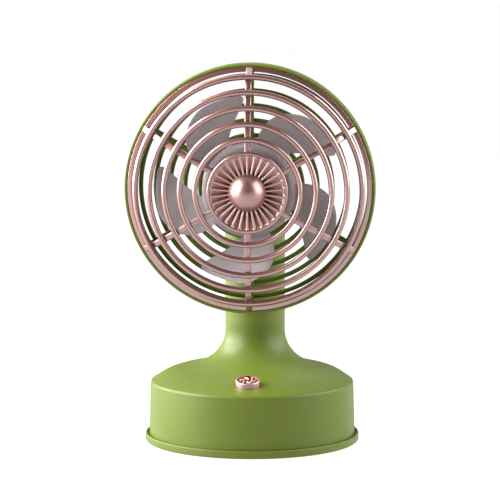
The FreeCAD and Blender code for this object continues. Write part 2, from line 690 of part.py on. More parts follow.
def make_fork():
    """A hollow column on a spigot, ending in a fork: two ears with a web behind them, under a dome."""
    fork = body("tilt_fork", y="neck_offset", z="axis_height")
    turned_upright(
        fork,
        ("0", "neck_top - spigot_length - axis_height"),
        ("neck_radius - wall - spigot_gap", "neck_top - spigot_length - axis_height"),
        ("neck_radius - wall - spigot_gap", "neck_top - axis_height"),
        ("neck_radius", "neck_top - axis_height"),
        ("neck_radius", "0", "neck_radius"),
        ("0", "neck_radius"),
    )
    slot = sketch_on(fork, "YZ")
    rectangle(slot, "-neck_radius - 2", "slot_rear", "-slot_drop", "neck_radius + 2")
    pocket(fork, slot, "2 * slot_half", both_ways=True)
    bore = sketch_on(fork, "YZ")
    circle(bore, "0", "0", "bolt_radius + thread_gap")
    pocket(fork, bore, "4 * neck_radius", both_ways=True)
    for start, backwards in (("ear_seat", False), ("-ear_seat", True)):
        seat = sketch_on(fork, "YZ", start)
        circle(seat, "0", "0", "seat_radius")
        pocket(fork, seat, "neck_radius", backwards=backwards)
    bottom = "neck_top - spigot_length - axis_height"
    roof = "-slot_drop - column_roof"
    pins(fork, "XY", [("0", "0")], "column_bore", f"{bottom} - 1", f"{roof} - ({bottom}) + 1", cut=True)
    pins(fork, "XY", [("0", "0")], "4", f"{roof} - 1", "column_roof + 2", cut=True)
    thread = sketch_on(fork, "XZ", "-9")
    circle(thread, "0", "neck_top - spigot_length / 2 - axis_height", "neck_screw_radius + thread_gap")
    pocket(fork, thread, "neck_radius", backwards=True)


def make_tilt_hardware():
    place = {"y": "neck_offset", "z": "axis_height"}
    bolt = body("tilt_bolt", **place)
    sketch = sketch_on(bolt, "XZ")
    outline(sketch, ("-bolt_end", "0"), ("-bolt_end", "bolt_radius"), ("ear_seat", "bolt_radius"),
            ("ear_seat", "bolt_head"), ("ear_seat + nut_thickness", "bolt_head"),
            ("ear_seat + nut_thickness", "0"))
    revolve(bolt, sketch, "H")

    nut = body("tilt_nut", **place)
    sketch = sketch_on(nut, "YZ", "-ear_seat")
    turns = range(0, 360, 60)
    outline(sketch, *[(f"nut_corner * cos({turn})", f"nut_corner * sin({turn})") for turn in turns])
    pad(nut, sketch, "nut_thickness", backwards=True)
    bore = sketch_on(nut, "YZ", "-ear_seat")
    circle(bore, "0", "0", "bolt_radius + thread_gap")
    pocket(nut, bore, "nut_thickness + 1", backwards=True)

    washers = body("tilt_washers", **place)
    caps = body("tilt_caps", **place)
    for start, backwards in (("1", False), ("-1", True)):
        ring = sketch_on(washers, "YZ", f"{start} * (arm_half + 0.05)")
        circle(ring, "0", "0", "washer_radius")
        circle(ring, "0", "0", "bolt_radius + thread_gap")
        pad(washers, ring, "slot_half - arm_half - 0.1", backwards=backwards)
        plug = sketch_on(caps, "YZ", f"{start} * cap_seat")
        circle(plug, "0", "0", "seat_radius - 0.1")
        pad(caps, plug, "neck_radius - cap_seat - cap_recess", backwards=backwards)


# ---------------------------------------------------------------- head

def make_shroud():
    """A band that curls inwards to a lip at the rear, with a seat for the front grille's rim."""
    shroud = head_body("shroud")
    band = sketch_on(shroud, "YZ")
    outline(
        band,
        ("-shroud_front", "shroud_front_radius", "-shroud_bulge"),
        ("shroud_shoulder", "shroud_shoulder_radius", "-shroud_curl"),
        ("shroud_rear", "shroud_rear_radius"),
        ("shroud_rear", "lip_inner"),
        ("lip_front", "lip_inner"),
        ("lip_front", "lip_seat"),
        ("shroud_shoulder", "shroud_inner"),
        ("rabbet_depth - shroud_front", "shroud_inner"),
        ("rabbet_depth - shroud_front", "rabbet_radius"),
        ("-shroud_front", "rabbet_radius"),
    )
    revolve(shroud, band, "H")
    lock = sketch_on(shroud, "XY", "-rim_inner")
    circle(lock, "0", "-lock_place", "lock_radius + 2 * thread_gap")
    pocket(shroud, lock, "8", backwards=True)
    recess = sketch_on(shroud, "XY", "lock_seat - shroud_front_radius")
    circle(recess, "0", "-lock_place", "lock_head + 0.2")
    pocket(shroud, recess, "4", backwards=True)


def make_rear_guard():
    """Motor seat and disc, rings, and flat spokes whose ends are bonded to the shroud's lip."""
    guard = head_body("rear_guard")
    centre = sketch_on(guard, "YZ")
    disc_front = "guard_plane - guard_spoke_depth / 2"
    disc_rear = "guard_plane + guard_spoke_depth / 2"
    seat_bore = "motor_radius + 0.2"
    outline(centre, ("-seat_front", "seat_hole"), ("-seat_front", "seat_tube"), (disc_front, "seat_tube"),
            (disc_front, "disc_radius"), (disc_rear, "disc_radius"), (disc_rear, seat_bore),
            ("motor_front", seat_bore), ("motor_front", "seat_hole"))
    revolve(guard, centre, "H")

    bar = sketch_on(guard, "XY", "disc_radius - 2")
    rectangle(bar, "-guard_spoke_width / 2", "guard_spoke_width / 2", disc_front, disc_rear)
    spoke = pad(guard, bar, "guard_reach - disc_radius + 2")
    polar(guard, spoke, "Y", GUARD_SPOKES)

    rings = sketch_on(guard, "YZ")
    for number in range(GUARD_RINGS):
        step = f"(guard_last_ring - guard_first_ring) * {number} / {GUARD_RINGS - 1}"
        circle(rings, "guard_plane", f"guard_first_ring + {step}", "guard_wire")
    revolve(guard, rings, "H")

    motor_holes = [("0", "motor_screw_place"), ("0", "-motor_screw_place")]
    pins(guard, "XZ", motor_holes, "motor_screw_radius + 0.2", "-motor_front - 1", "4", cut=True)
    screw_holes = corners("guard_screw_place")
    pins(guard, "XZ", screw_holes, "guard_screw_radius + 0.1", "-guard_plane - 3", "6", cut=True)


def make_motor_cover():
    """A cup over the motor's rear, with the tilt arm and knuckle."""
    cover = head_body("motor_cover")
    mouth = "guard_plane + guard_spoke_depth / 2"
    cup = sketch_on(cover, "YZ")
    outline(
        cup,
        (mouth, "cover_radius"),
        ("cover_rear - cover_round", "cover_radius - cover_taper", "-cover_round"),
        ("cover_rear", "cover_radius - cover_taper - cover_round"),
        ("cover_rear", "0"),
        ("cover_rear - cover_wall", "0"),
        ("cover_rear - cover_wall", "cover_radius - cover_taper - cover_round", "cover_round - cover_wall"),
        ("cover_rear - cover_round", "cover_radius - cover_taper - cover_wall"),
        (mouth, "cover_radius - cover_wall"),
    )
    revolve(cover, cup, "H")
    posts = corners("guard_screw_place")
    pins(cover, "XZ", posts, "cover_post", "-cover_rear + 5.5", f"cover_rear - 5.5 - ({mouth})")
    pins(cover, "XZ", posts, "guard_screw_radius + thread_gap", f"-({mouth}) - 7", "8", cut=True)

    pivot = "neck_offset + head_advance"
    arm = sketch_on(cover, "YZ")
    rectangle(arm, "cover_rear - 1.5", pivot, "-arm_rise", "arm_rise")
    pad(cover, arm, "2 * arm_half", both_ways=True)
    knuckle = sketch_on(cover, "YZ")
    circle(knuckle, pivot, "0", "knuckle_radius")
    pad(cover, knuckle, "2 * arm_half", both_ways=True)
    bore = sketch_on(cover, "YZ")
    circle(bore, pivot, "0", "bolt_radius + pivot_gap")
    pocket(cover, bore, "4 * arm_half", both_ways=True)
    channel = sketch_on(cover, "YZ")
    outline(channel, ("cover_rear - 3", "-channel_bottom"), ("channel_opening", "-channel_bottom"),
            ("channel_opening", "-knuckle_radius - 1"), ("channel_rear", "-knuckle_radius - 1"),
            ("channel_rear", "-channel_top"), ("cover_rear - 3", "-channel_top"))
    pocket(cover, channel, "2 * channel_half", both_ways=True)


def make_motor():
    """A small brushed motor: can, end cap, bearings, magnets, brushes and terminals."""
    bearing_bore = "shaft_radius + shaft_gap"
    bearing_seat = "bearing_radius + press_gap"
    turned_on_head(
        "motor_can",
        ("-0.6", bearing_seat), ("-0.6", "4"), ("motor_front", "4"), ("motor_front", "motor_radius"),
        ("motor_rear", "motor_radius"), ("motor_rear", "motor_radius - can_wall"),
        ("motor_front + can_wall", "motor_radius - can_wall"), ("motor_front + can_wall", bearing_seat),
    )
    turned_on_head(
        "motor_end_cap",
        ("motor_rear", bearing_seat), ("motor_rear", "motor_radius"),
        ("motor_rear + cap_thickness", "motor_radius"), ("motor_rear + cap_thickness", "cap_boss"),
        ("motor_rear + 3.4", "cap_boss"), ("motor_rear + 3.4", bearing_seat),
    )
    for label, start in (("front_bearing", "-0.4"), ("rear_bearing", "motor_rear + 0.2")):
        turned_on_head(
            label,
            (start, bearing_bore), (start, "bearing_radius"),
            (f"{start} + bearing_length", "bearing_radius"), (f"{start} + bearing_length", bearing_bore),
        )

    magnets = head_body("motor_magnets")
    section = sketch_on(magnets, "YZ")
    rectangle(section, "armature_front", "armature_rear", "magnet_inner", "motor_radius - can_wall - 0.1")
    arc = revolve(magnets, section, "H", angle="120", both_ways=True)
    polar(magnets, arc, "Y", 2)

    brushes = head_body("motor_brushes")
    terminals = head_body("motor_terminals")
    for start, backwards in (("3.1", False), ("-3.1", True)):
        block = sketch_on(brushes, "XY", start)
        rectangle(block, "-1", "1", "19.9", "21.6")
        pad(brushes, block, "3.4", backwards=backwards)
        tab = sketch_on(terminals, "YZ", f"{start} * 2.5")
        rectangle(tab, "motor_rear + cap_thickness", "motor_rear + cap_thickness + 2.4", "-1.2", "1.2")
        pad(terminals, tab, "0.5", backwards=backwards)


def make_rotor():
    """What turns: the impeller with its bush, and the motor's shaft, armature and commutator."""
    bore = "shaft_radius + press_gap"
    turned_on_head("motor_shaft", ("-shaft_front", "0"), ("-shaft_front", "shaft_radius"),
                   ("shaft_rear", "shaft_radius"), ("shaft_rear", "0"))
    turned_on_head("armature", ("armature_front", bore), ("armature_front", "armature_radius"),
                   ("armature_rear", "armature_radius"), ("armature_rear", bore))
    turned_on_head("commutator", ("19.5", bore), ("19.5", "3"), ("21.8", "3"), ("21.8", bore))
    turned_on_head("impeller_bush", ("-shaft_front", bore), ("-shaft_front", "bush_radius - 0.05"),
                   ("-bush_rear", "bush_radius - 0.05"), ("-bush_rear", bore))
    windings = head_body("windings")
    sketch = sketch_on(windings, "YZ")
    rectangle(sketch, "armature_front - 1.4", "armature_front", "2.2", "armature_radius - 0.8")
    rectangle(sketch, "armature_rear", "armature_rear + 2.2", "2.2", "armature_radius - 0.8")
    revolve(windings, sketch, "H")
    make_impeller()


def make_impeller():
    """A hollow hub with wide pitched blades."""
    impeller = head_body("impeller", axis=FreeCAD.Vector(0, -1, 0), angle="blade_turn")
    inner = "hub_radius - hub_wall"
    back_of_face = "hub_wall + 0.4 - hub_front"
    hub = sketch_on(impeller, "YZ")
    outline(
        hub,
        ("-hub_front", "0"),
        ("-hub_front", "hub_radius - hub_round", "-hub_round"),
        ("hub_round - hub_front", "hub_radius"),
        ("-hub_rear", "hub_radius"),
        ("-hub_rear", inner),
        (back_of_face, inner),
        (back_of_face, "bush_radius * 2"),
        ("-bush_rear", "bush_radius * 2"),
        ("-bush_rear", "bush_radius"),
        ("-shaft_front", "bush_radius"),
        ("-shaft_front", "0"),
    )
    revolve(impeller, hub, "H")

    # distance from the axis, chord and pitch of the blade's sections
    stations = (("hub_radius - 1.5", 17, 36), ("37", 28, 29), ("47", 32, 24), ("52", 26, 22))
    sections = []
    for place, chord, pitch in stations:
        section = sketch_on(impeller, "XY", place, turn=str(pitch))
        half = "blade_thickness / 2"
        centre = f"-blade_plane * cos({pitch})"
        drift = f"-blade_plane * sin({pitch})"
        rectangle(section, f"{drift} - {chord / 2}", f"{drift} + {chord / 2}",
                  f"{centre} - {half}", f"{centre} + {half}")
        sections.append(section)
    blade = loft(impeller, "AdditiveLoft", sections)
    polar(impeller, blade, "Y", BLADES)


def make_head_fasteners():
    face = "guard_plane - guard_spoke_depth / 2"
    guard_screws = head_body("guard_screws")
    places = corners("guard_screw_place")
    pins(guard_screws, "XZ", places, "2", f"-({face})", "1.4")
    pins(guard_screws, "XZ", places, "guard_screw_radius", f"-({face}) - guard_screw_length",
         "guard_screw_length")

    motor_screws = head_body("motor_screws")
    places = [("0", "motor_screw_place"), ("0", "-motor_screw_place")]
    pins(motor_screws, "XZ", places, "1.9", "seat_front", "1.3")
    pins(motor_screws, "XZ", places, "motor_screw_radius", "-motor_front", "seat_front + motor_front")

    lock = head_body("grille_lock_screw")
    seat = "lock_seat - shroud_front_radius"
    for radius, start, length in (("lock_head", f"{seat} - 0.6", "0.6"), ("lock_radius", seat, "4")):
        sketch = sketch_on(lock, "XY", start)
        circle(sketch, "0", "-lock_place", radius)
        pad(lock, sketch, length)


def make_front_grille():
    """Cup, spokes that bend back to the rim, the rim, and rings that stand proud of the spokes."""
    grille = head_body("front_grille")
    cup = sketch_on(grille, "YZ")
    outline(
        cup,
        ("cup_thickness - cup_floor", "0"),
        ("-cup_floor", "0"),
        ("-cup_floor", "cup_inner"),
        ("-cup_front", "cup_inner"),
        ("-cup_front", "cup_radius - 1", "-1"),
        ("1 - cup_front", "cup_radius"),
        ("cup_thickness - cup_floor", "cup_radius"),
    )
    revolve(grille, cup, "H")

    bar = sketch_on(grille, "YZ")
    outline(
        bar,
        ("-26", "cup_radius - 1"),
        ("-25.3", "39", "-56"),
        ("-17.4", "63.8", "-16"),
        ("-rim_front", "rim_outer - 0.2"),
        ("rim_flange - rim_front", "rim_outer - 0.2"),
        ("rim_flange - rim_front", "skirt_radius - 0.1"),
        ("spoke_depth - rim_front", "skirt_radius - 0.1"),
        ("spoke_depth - rim_front", "rim_outer - 2.6", "14"),
        ("-15.4", "62.2", "53"),
        ("spoke_depth - 25.3", "38.6"),
        ("spoke_depth - 26", "cup_radius - 1"),
    )
    spoke = pad(grille, bar, "spoke_width", both_ways=True)
    polar(grille, spoke, "Y", GUARD_SPOKES)

    rim = sketch_on(grille, "YZ")
    outline(
        rim,
        ("-rim_front", "rim_inner"),
        ("-rim_front", "rim_outer"),
        ("rim_flange - rim_front", "rim_outer"),
        ("rim_flange - rim_front", "skirt_radius"),
        ("-skirt_rear", "skirt_radius"),
        ("-skirt_rear", "rim_inner"),
    )
    revolve(grille, rim, "H")

    rings = sketch_on(grille, "YZ")
    for number in range(1, len(GRILLE_RINGS) + 1):
        circle(rings, f"-ring_{number}_advance", f"ring_{number}_radius", "wire_radius")
    revolve(grille, rings, "H")

    hole = sketch_on(grille, "XY", "-rim_inner + 1")
    circle(hole, "0", "-lock_place", "lock_radius + thread_gap")
    pocket(grille, hole, "4", backwards=True)


def make_medallion():
    medallion = head_body("grille_medallion")
    disc = sketch_on(medallion, "YZ")
    outline(disc, ("-cup_floor", "3.1"), ("-cup_floor", "medallion_radius"),
            ("-medallion_face", "medallion_radius"), ("-medallion_face", "3.1"))
    revolve(medallion, disc, "H")
    face = sketch_on(medallion, "XZ", "medallion_face")
    rectangle(face, "-rib_width / 2", "rib_width / 2", "dome_radius + 0.3", "medallion_radius - 0.2")
    rib = pad(medallion, face, "rib_face - medallion_face")
    polar(medallion, rib, "Y", MEDALLION_RIBS)

    turned_on_head(
        "grille_dome",
        ("-dome_tip", "0", "-dome_curve"),
        ("-dome_base", "dome_radius"),
        ("-medallion_face", "dome_radius"),
        ("-medallion_face", "3"),
        ("-cup_floor", "3"),
        ("-cup_floor", "0"),
    )


# ---------------------------------------------------------------- leads

def lead(label, *points):
    """A sleeved lead: straight runs joined by tangent arcs, swept with a round section."""
    places = [FreeCAD.Vector(*(value(part) for part in point)) for point in points]
    radius = value("lead_radius")
    edges = []
    here = places[0]
    for before, corner, after in zip(places, places[1:], places[2:]):
        inward = (corner - before).normalize()
        outward = (after - corner).normalize()
        half_turn = inward.getAngle(outward) / 2
        trim = 0.45 * min((corner - before).Length, (after - corner).Length)
        start = corner - inward * trim
        end = corner + outward * trim
        towards_centre = (outward - inward).normalize()
        bend = trim / math.tan(half_turn)
        middle = corner + towards_centre * bend * (1 / math.cos(half_turn) - 1)
        edges.append(Part.LineSegment(here, start).toShape())
        edges.append(Part.Arc(start, middle, end).toShape())
        print(f"{label}: bend radius {bend:.1f} mm")
        here = end
    edges.append(Part.LineSegment(here, places[-1]).toShape())
    path = Part.Wire(edges)
    section = Part.Wire([Part.Circle(places[0], places[1] - places[0], radius).toShape()])
    made = doc.addObject("Part::Feature", label)
    made.Label = label
    made.Shape = path.makePipeShell([section], True, False)
    made.Placement = FreeCAD.Placement()
    expected = math.pi * radius ** 2 * path.Length
    print(f"{label}: length {path.Length:.1f} mm, volume over section times length "
          f"{made.Shape.Volume / expected:.4f}")
    finished.append(made)


def make_leads():
    above_board = "board_top + 4"
    lead("neck_lead",
         ("9", "board_front + 9", above_board), ("9", "board_front + 9", "26"),
         ("5", "neck_offset + 3", "42"), ("1", "neck_offset - 1", "60"),
         ("-1", "neck_offset + 1", "98"), ("0", "neck_offset", "axis_height - slot_drop - 1"))
    lead("motor_lead",
         ("0", "motor_rear + 3.7 - head_advance", "axis_height - channel_top - 1.8"),
         ("0", "39 - head_advance", "axis_height - channel_top - 1.8"),
         ("0", "39.2 - head_advance", "axis_height - 9"))
    lead("battery_lead",
         ("cell_length / 2 + 2.6", "0", "18.2"), ("42", "4", "18"), ("39", "17", "16"),
         ("24", "27", "14"), ("14", "34", "board_top + 1.2"))
    lead("switch_lead",
         ("-6", "-36", "27.4"), ("-15", "-24", "30.5"), ("-24", "-6", "31"), ("-22", "14", "29"),
         ("-14", "29", "16"), ("-9", "38", "board_top + 1.2"))


def write_parts():
    """Check every object, then write each sub-part to a file of its own name."""
    doc.recompute()
    for item in doc.Objects:
        failed = [state for state in item.State if state in ("Invalid", "Error")]
        if failed:
            raise RuntimeError(f"{item.Label} failed: {item.State}")
    for item in finished:
        if item.Shape.isNull() or not item.Shape.isValid():
            raise RuntimeError(f"{item.Label} has no valid shape")
    os.makedirs("parts", exist_ok=True)
    for item in finished:
        item.Shape.exportStep(f"parts/{item.Label}.step")
        print(f"{item.Label}: {len(item.Shape.Solids)} solid, {item.Shape.Volume:.0f} mm3")


make_foot()
make_tray()
make_shell()
make_ballast_and_battery()
make_electronics()
make_base_fasteners()
make_fork()
make_tilt_hardware()
make_button()
make_shroud()
make_rear_guard()
make_motor_cover()
make_motor()
make_rotor()
make_head_fasteners()
make_front_grille()
make_medallion()
make_leads()
write_parts()
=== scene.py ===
"""Desk fan: moulded green base, neck and shroud, rose-gold grille and button, mauve impeller.

The camera, the lights and the depths of bumps are in metres. Shapes are in millimetres in the CAD frame
and become metres where vertices are made. Head pieces are described by how far they lie behind the
shroud's widest circle and by their radius about the head's axis, base pieces by their height and radius
about the base's axis.
"""
import json
import math

import bmesh
import bpy
import numpy as np
from mathutils import Matrix, Vector


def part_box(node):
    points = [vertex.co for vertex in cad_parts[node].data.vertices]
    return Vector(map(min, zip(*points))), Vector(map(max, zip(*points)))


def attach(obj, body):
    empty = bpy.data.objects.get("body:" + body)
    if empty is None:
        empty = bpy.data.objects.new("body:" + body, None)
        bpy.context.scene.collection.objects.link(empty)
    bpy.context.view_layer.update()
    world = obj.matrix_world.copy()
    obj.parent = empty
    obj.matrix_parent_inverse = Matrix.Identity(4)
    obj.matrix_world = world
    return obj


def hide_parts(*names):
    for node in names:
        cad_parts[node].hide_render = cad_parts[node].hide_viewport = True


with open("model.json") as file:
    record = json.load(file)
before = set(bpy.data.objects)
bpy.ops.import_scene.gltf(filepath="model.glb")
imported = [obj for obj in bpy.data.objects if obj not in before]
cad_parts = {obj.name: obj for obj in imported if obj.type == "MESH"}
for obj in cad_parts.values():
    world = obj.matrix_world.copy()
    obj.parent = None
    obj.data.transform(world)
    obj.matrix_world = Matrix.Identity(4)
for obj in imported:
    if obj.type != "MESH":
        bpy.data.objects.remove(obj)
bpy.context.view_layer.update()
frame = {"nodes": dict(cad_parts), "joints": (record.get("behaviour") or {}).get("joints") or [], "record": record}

MM = 0.001
JOINTS = {joint["name"]: joint for joint in frame["joints"]}
HEAD = Vector(JOINTS["impeller_spin"]["pos_m"]) / MM
PIVOT = Vector(JOINTS["head_tilt"]["pos_m"]) / MM
NECK_AXIS = PIVOT.y
# steps round a turned shape, and the angle in degrees past which an edge stays sharp
AROUND = 256
SHARP = 35
# turns a drawing of Y and Z into place, with its height along X
SIDE_VIEW = Matrix(((0, 0, 1, 0), (1, 0, 0, 0), (0, 1, 0, 0), (0, 0, 0, 1)))


# ---------------------------------------------------------------- camera and light

CAMERA_TARGET = Vector((-1.26, 0, 112.9)) * MM
CAMERA_DISTANCE = 1.5
CAMERA_AZIMUTH = math.radians(3.4)
CAMERA_ELEVATION = math.radians(7.0)
CAMERA_LENS = 182.9


def make_camera():
    back = Vector((
        math.sin(CAMERA_AZIMUTH) * math.cos(CAMERA_ELEVATION),
        -math.cos(CAMERA_AZIMUTH) * math.cos(CAMERA_ELEVATION),
        math.sin(CAMERA_ELEVATION),
    ))
    data = bpy.data.cameras.new("camera")
    data.sensor_width = 36
    data.lens = CAMERA_LENS
    data.clip_start = 0.05
    data.clip_end = 200
    camera = bpy.data.objects.new("camera", data)
    camera.location = CAMERA_TARGET + back * CAMERA_DISTANCE
    camera.rotation_euler = (-back).to_track_quat("-Z", "Y").to_euler()
    bpy.context.scene.collection.objects.link(camera)
    bpy.context.scene.camera = camera


def make_softbox(name, place, size, power, aim):
    data = bpy.data.lights.new(name, "AREA")
    data.shape = "RECTANGLE"
    data.size, data.size_y = size
    data.energy = power
    light = bpy.data.objects.new(name, data)
    light.location = place
    light.rotation_euler = (Vector(place) - Vector(aim)).to_track_quat("Z", "Y").to_euler()
    bpy.context.scene.collection.objects.link(light)


def make_softboxes():
    """A long softbox at each side, the left one stronger, and a weak one above."""
    make_softbox("softbox_left", (-0.9, -0.02, 0.7), (1.55, 1.25), 78, (0, -0.02, 0.6))
    make_softbox("softbox_right", (0.95, -0.02, 0.76), (1.45, 1.25), 30, (0, -0.02, 0.66))
    make_softbox("softbox_top", (0, 0.35, 1.3), (1.0, 0.6), 3, (0, 0, 0.13))


def make_surround():
    """A world that is grey behind the fan and nearly black in front of it."""
    world = bpy.data.worlds.new("surround")
    bpy.context.scene.world = world
    world.use_nodes = True
    tree = world.node_tree
    place = tree.nodes.new("ShaderNodeTexCoord")
    split = tree.nodes.new("ShaderNodeSeparateXYZ")
    tree.links.new(place.outputs["Generated"], split.inputs[0])
    ramp = tree.nodes.new("ShaderNodeValToRGB")
    ramp.color_ramp.elements[0].position = 0.5
    ramp.color_ramp.elements[0].color = (0.05, 0.05, 0.05, 1)
    ramp.color_ramp.elements[1].position = 0.85
    ramp.color_ramp.elements[1].color = (0.5, 0.5, 0.51, 1)
    shift = tree.nodes.new("ShaderNodeMapRange")
    shift.inputs["From Min"].default_value = -1
    tree.links.new(split.outputs["Y"], shift.inputs["Value"])
    tree.links.new(shift.outputs["Result"], ramp.inputs["Fac"])
    background = tree.nodes["Background"]
    background.inputs["Strength"].default_value = 1.0
    tree.links.new(ramp.outputs["Color"], background.inputs["Color"])


def make_floor():
    """A wide floor that glows almost white, so that it looks like a white backdrop."""
    side = 40
    corners = [(-side, -side, 0), (side, -side, 0), (side, side, 0), (-side, side, 0)]
    mesh = bpy.data.meshes.new("floor")
    mesh.from_pydata(corners, [], [(0, 1, 2, 3)])
    floor = bpy.data.objects.new("floor", mesh)
    bpy.context.scene.collection.objects.link(floor)
    paint = bpy.data.materials.new("floor_paint")
    paint.use_nodes = True
    shader = paint.node_tree.nodes["Principled BSDF"]
    shader.inputs["Base Color"].default_value = (0.08, 0.08, 0.08, 1)
    shader.inputs["Roughness"].default_value = 0.9
    shader.inputs["Emission Color"].default_value = (1, 1, 1, 1)
    shader.inputs["Emission Strength"].default_value = 0.95
    mesh.materials.append(paint)


# ---------------------------------------------------------------- materials

def node(tree, kind, **values):
    """Add a node; values set its properties, or its inputs where a property has no such name."""
    made = tree.nodes.new(kind)
    for name, value in values.items():
        if hasattr(made, name):
            setattr(made, name, value)
        else:
            made.inputs[name.replace("_", " ")].default_value = value
    return made


def start_material(name):
    made = bpy.data.materials.new(name)
    made.use_nodes = True
    tree = made.node_tree
    place = node(tree, "ShaderNodeTexCoord")
    return made, tree, tree.nodes["Principled BSDF"], place.outputs["Object"]


def noise(tree, place, scale, detail):
    made = node(tree, "ShaderNodeTexNoise", Scale=scale, Detail=detail, Roughness=0.55)
    tree.links.new(place, made.inputs["Vector"])
    return made.outputs["Fac"]


def blend_colour(tree, factor, low, high, start=0.3, end=0.7):
    """A colour that runs from low to high as the factor goes from start to end."""
    ramp = node(tree, "ShaderNodeValToRGB")
    ramp.color_ramp.elements[0].position = start
    ramp.color_ramp.elements[0].color = (*low, 1)
    ramp.color_ramp.elements[1].position = end
    ramp.color_ramp.elements[1].color = (*high, 1)
    tree.links.new(factor, ramp.inputs["Fac"])
    return ramp.outputs["Color"]


def remap(tree, factor, low, high, start=0.3, end=0.7):
    made = node(tree, "ShaderNodeMapRange")
    made.inputs["From Min"].default_value = start
    made.inputs["From Max"].default_value = end
    made.inputs["To Min"].default_value = low
    made.inputs["To Max"].default_value = high
    tree.links.new(factor, made.inputs["Value"])
    return made.outputs["Result"]


def bump(tree, shader, layers):
    """Stack height layers, each a factor with its depth in metres."""
    normal = None
    for height, depth in layers:
        made = node(tree, "ShaderNodeBump", Distance=depth, Strength=1.0)
        tree.links.new(height, made.inputs["Height"])
        if normal:
            tree.links.new(normal, made.inputs["Normal"])
        normal = made.outputs["Normal"]
    tree.links.new(normal, shader.inputs["Normal"])


# pointiness at which an edge starts to show wear and at which it shows the most
WORN_EDGES = (0.52, 0.62)


def wear(tree, colour, worn, amount):
    """Blend a colour towards a worn one along convex edges."""
    edge = node(tree, "ShaderNodeNewGeometry")
    factor = remap(tree, edge.outputs["Pointiness"], 0.0, amount, *WORN_EDGES)
    mix = node(tree, "ShaderNodeMix", data_type="RGBA")
    tree.links.new(factor, mix.inputs["Factor"])
    tree.links.new(colour, mix.inputs["A"])
    mix.inputs["B"].default_value = (*worn, 1)
    return mix.outputs["Result"]


def shades(colour, spread):
    return [tuple(part * (1 - spread) for part in colour), tuple(part * (1 + spread) for part in colour)]


def multiply(tree, colour, factor):
    """Darken or lighten a colour by another, channel by channel."""
    mix = node(tree, "ShaderNodeMix", data_type="RGBA", blend_type="MULTIPLY")
    mix.inputs["Factor"].default_value = 1.0
    tree.links.new(colour, mix.inputs["A"])
    tree.links.new(factor, mix.inputs["B"])
    return mix.outputs["Result"]


def moulded(name, colour, roughness, spread=0.05, worn=None, grain=9000, depth=0.000012, gloss=0.5):
    """Moulded plastic or rubber: clouds of tone, fine speckle, patchy gloss and an eroded-mould texture.

    Spread is how far the tone wanders, as a share of the colour; grain is the speckle's scale and depth its
    height in metres. The texture scatters a glancing reflection, so the gloss fades towards the outline.
    """
    made, tree, shader, place = start_material(name)
    clouds = noise(tree, place, 35, 4)
    speckle = noise(tree, place, grain, 2)
    low, high = shades(colour, spread)
    tone = blend_colour(tree, clouds, low, high)
    dots = blend_colour(tree, speckle, (0.93, 0.93, 0.93), (1.05, 1.05, 1.05))
    tint = wear(tree, multiply(tree, tone, dots), worn or high, 0.5)
    tree.links.new(tint, shader.inputs["Base Color"])
    patches = remap(tree, noise(tree, place, 140, 5), roughness - 0.04, roughness + 0.05)
    tree.links.new(patches, shader.inputs["Roughness"])
    bump(tree, shader, [(speckle, depth), (noise(tree, place, 700, 2), depth * 2)])
    glance = node(tree, "ShaderNodeLayerWeight", Blend=0.5)
    fading = remap(tree, glance.outputs["Facing"], gloss, gloss * 0.1, 0.72, 0.95)
    tree.links.new(fading, shader.inputs["Specular IOR Level"])
    return made


COAT_IOR = 2.7
# painted shade in hollows: the tint the paint is multiplied by at a hollow's bottom, and the coat weight there
HOLLOW_PAINTED_SHADE = (0.5, 0.3, 0.25)
HOLLOW_SHADED_COAT = 0.12


def metallic_paint(name, colour, roughness, gloss=1.0, blur=0.2, hollow=None):
    """Metallic paint under a hard clear coat: flakes that catch the light one by one, over orange peel.

    Gloss is the weight of the clear coat and blur its roughness. A hollow, given as the front and back of
    a range along Y in metres, gets painted shade: the paint darkens and the coat dulls with depth.
    """
    made, tree, shader, place = start_material(name)
    flakes = node(tree, "ShaderNodeTexVoronoi", Scale=7000)
    tree.links.new(place, flakes.inputs["Vector"])
    split = node(tree, "ShaderNodeSeparateColor")
    tree.links.new(flakes.outputs["Color"], split.inputs["Color"])
    low, high = shades(colour, 0.16)
    tone = blend_colour(tree, split.outputs["Red"], low, high, 0.0, 1.0)
    if hollow:
        # painted shade: the paint darkens and the coat dulls deeper in the hollow
        axes = node(tree, "ShaderNodeSeparateXYZ")
        tree.links.new(place, axes.inputs["Vector"])
        depth = remap(tree, axes.outputs["Y"], 0.0, 1.0, *hollow)
        tone = multiply(tree, tone, blend_colour(tree, depth, (1.0, 1.0, 1.0), HOLLOW_PAINTED_SHADE, 0.0, 1.0))
        tree.links.new(remap(tree, depth, gloss, HOLLOW_SHADED_COAT, 0.0, 0.3), shader.inputs["Coat Weight"])
    else:
        shader.inputs["Coat Weight"].default_value = gloss
    worn = tuple(min(1.0, part * 1.3) for part in colour)
    tree.links.new(wear(tree, tone, worn, 0.35), shader.inputs["Base Color"])
    flake_blur = remap(tree, split.outputs["Green"], roughness - 0.05, roughness + 0.08, 0.0, 1.0)
    tree.links.new(flake_blur, shader.inputs["Roughness"])
    bump(tree, shader, [(noise(tree, place, 900, 2), 0.00002), (split.outputs["Blue"], 0.000006)])
    shader.inputs["Metallic"].default_value = 1.0
    shader.inputs["Coat Roughness"].default_value = blur
    shader.inputs["Coat IOR"].default_value = COAT_IOR
    return made


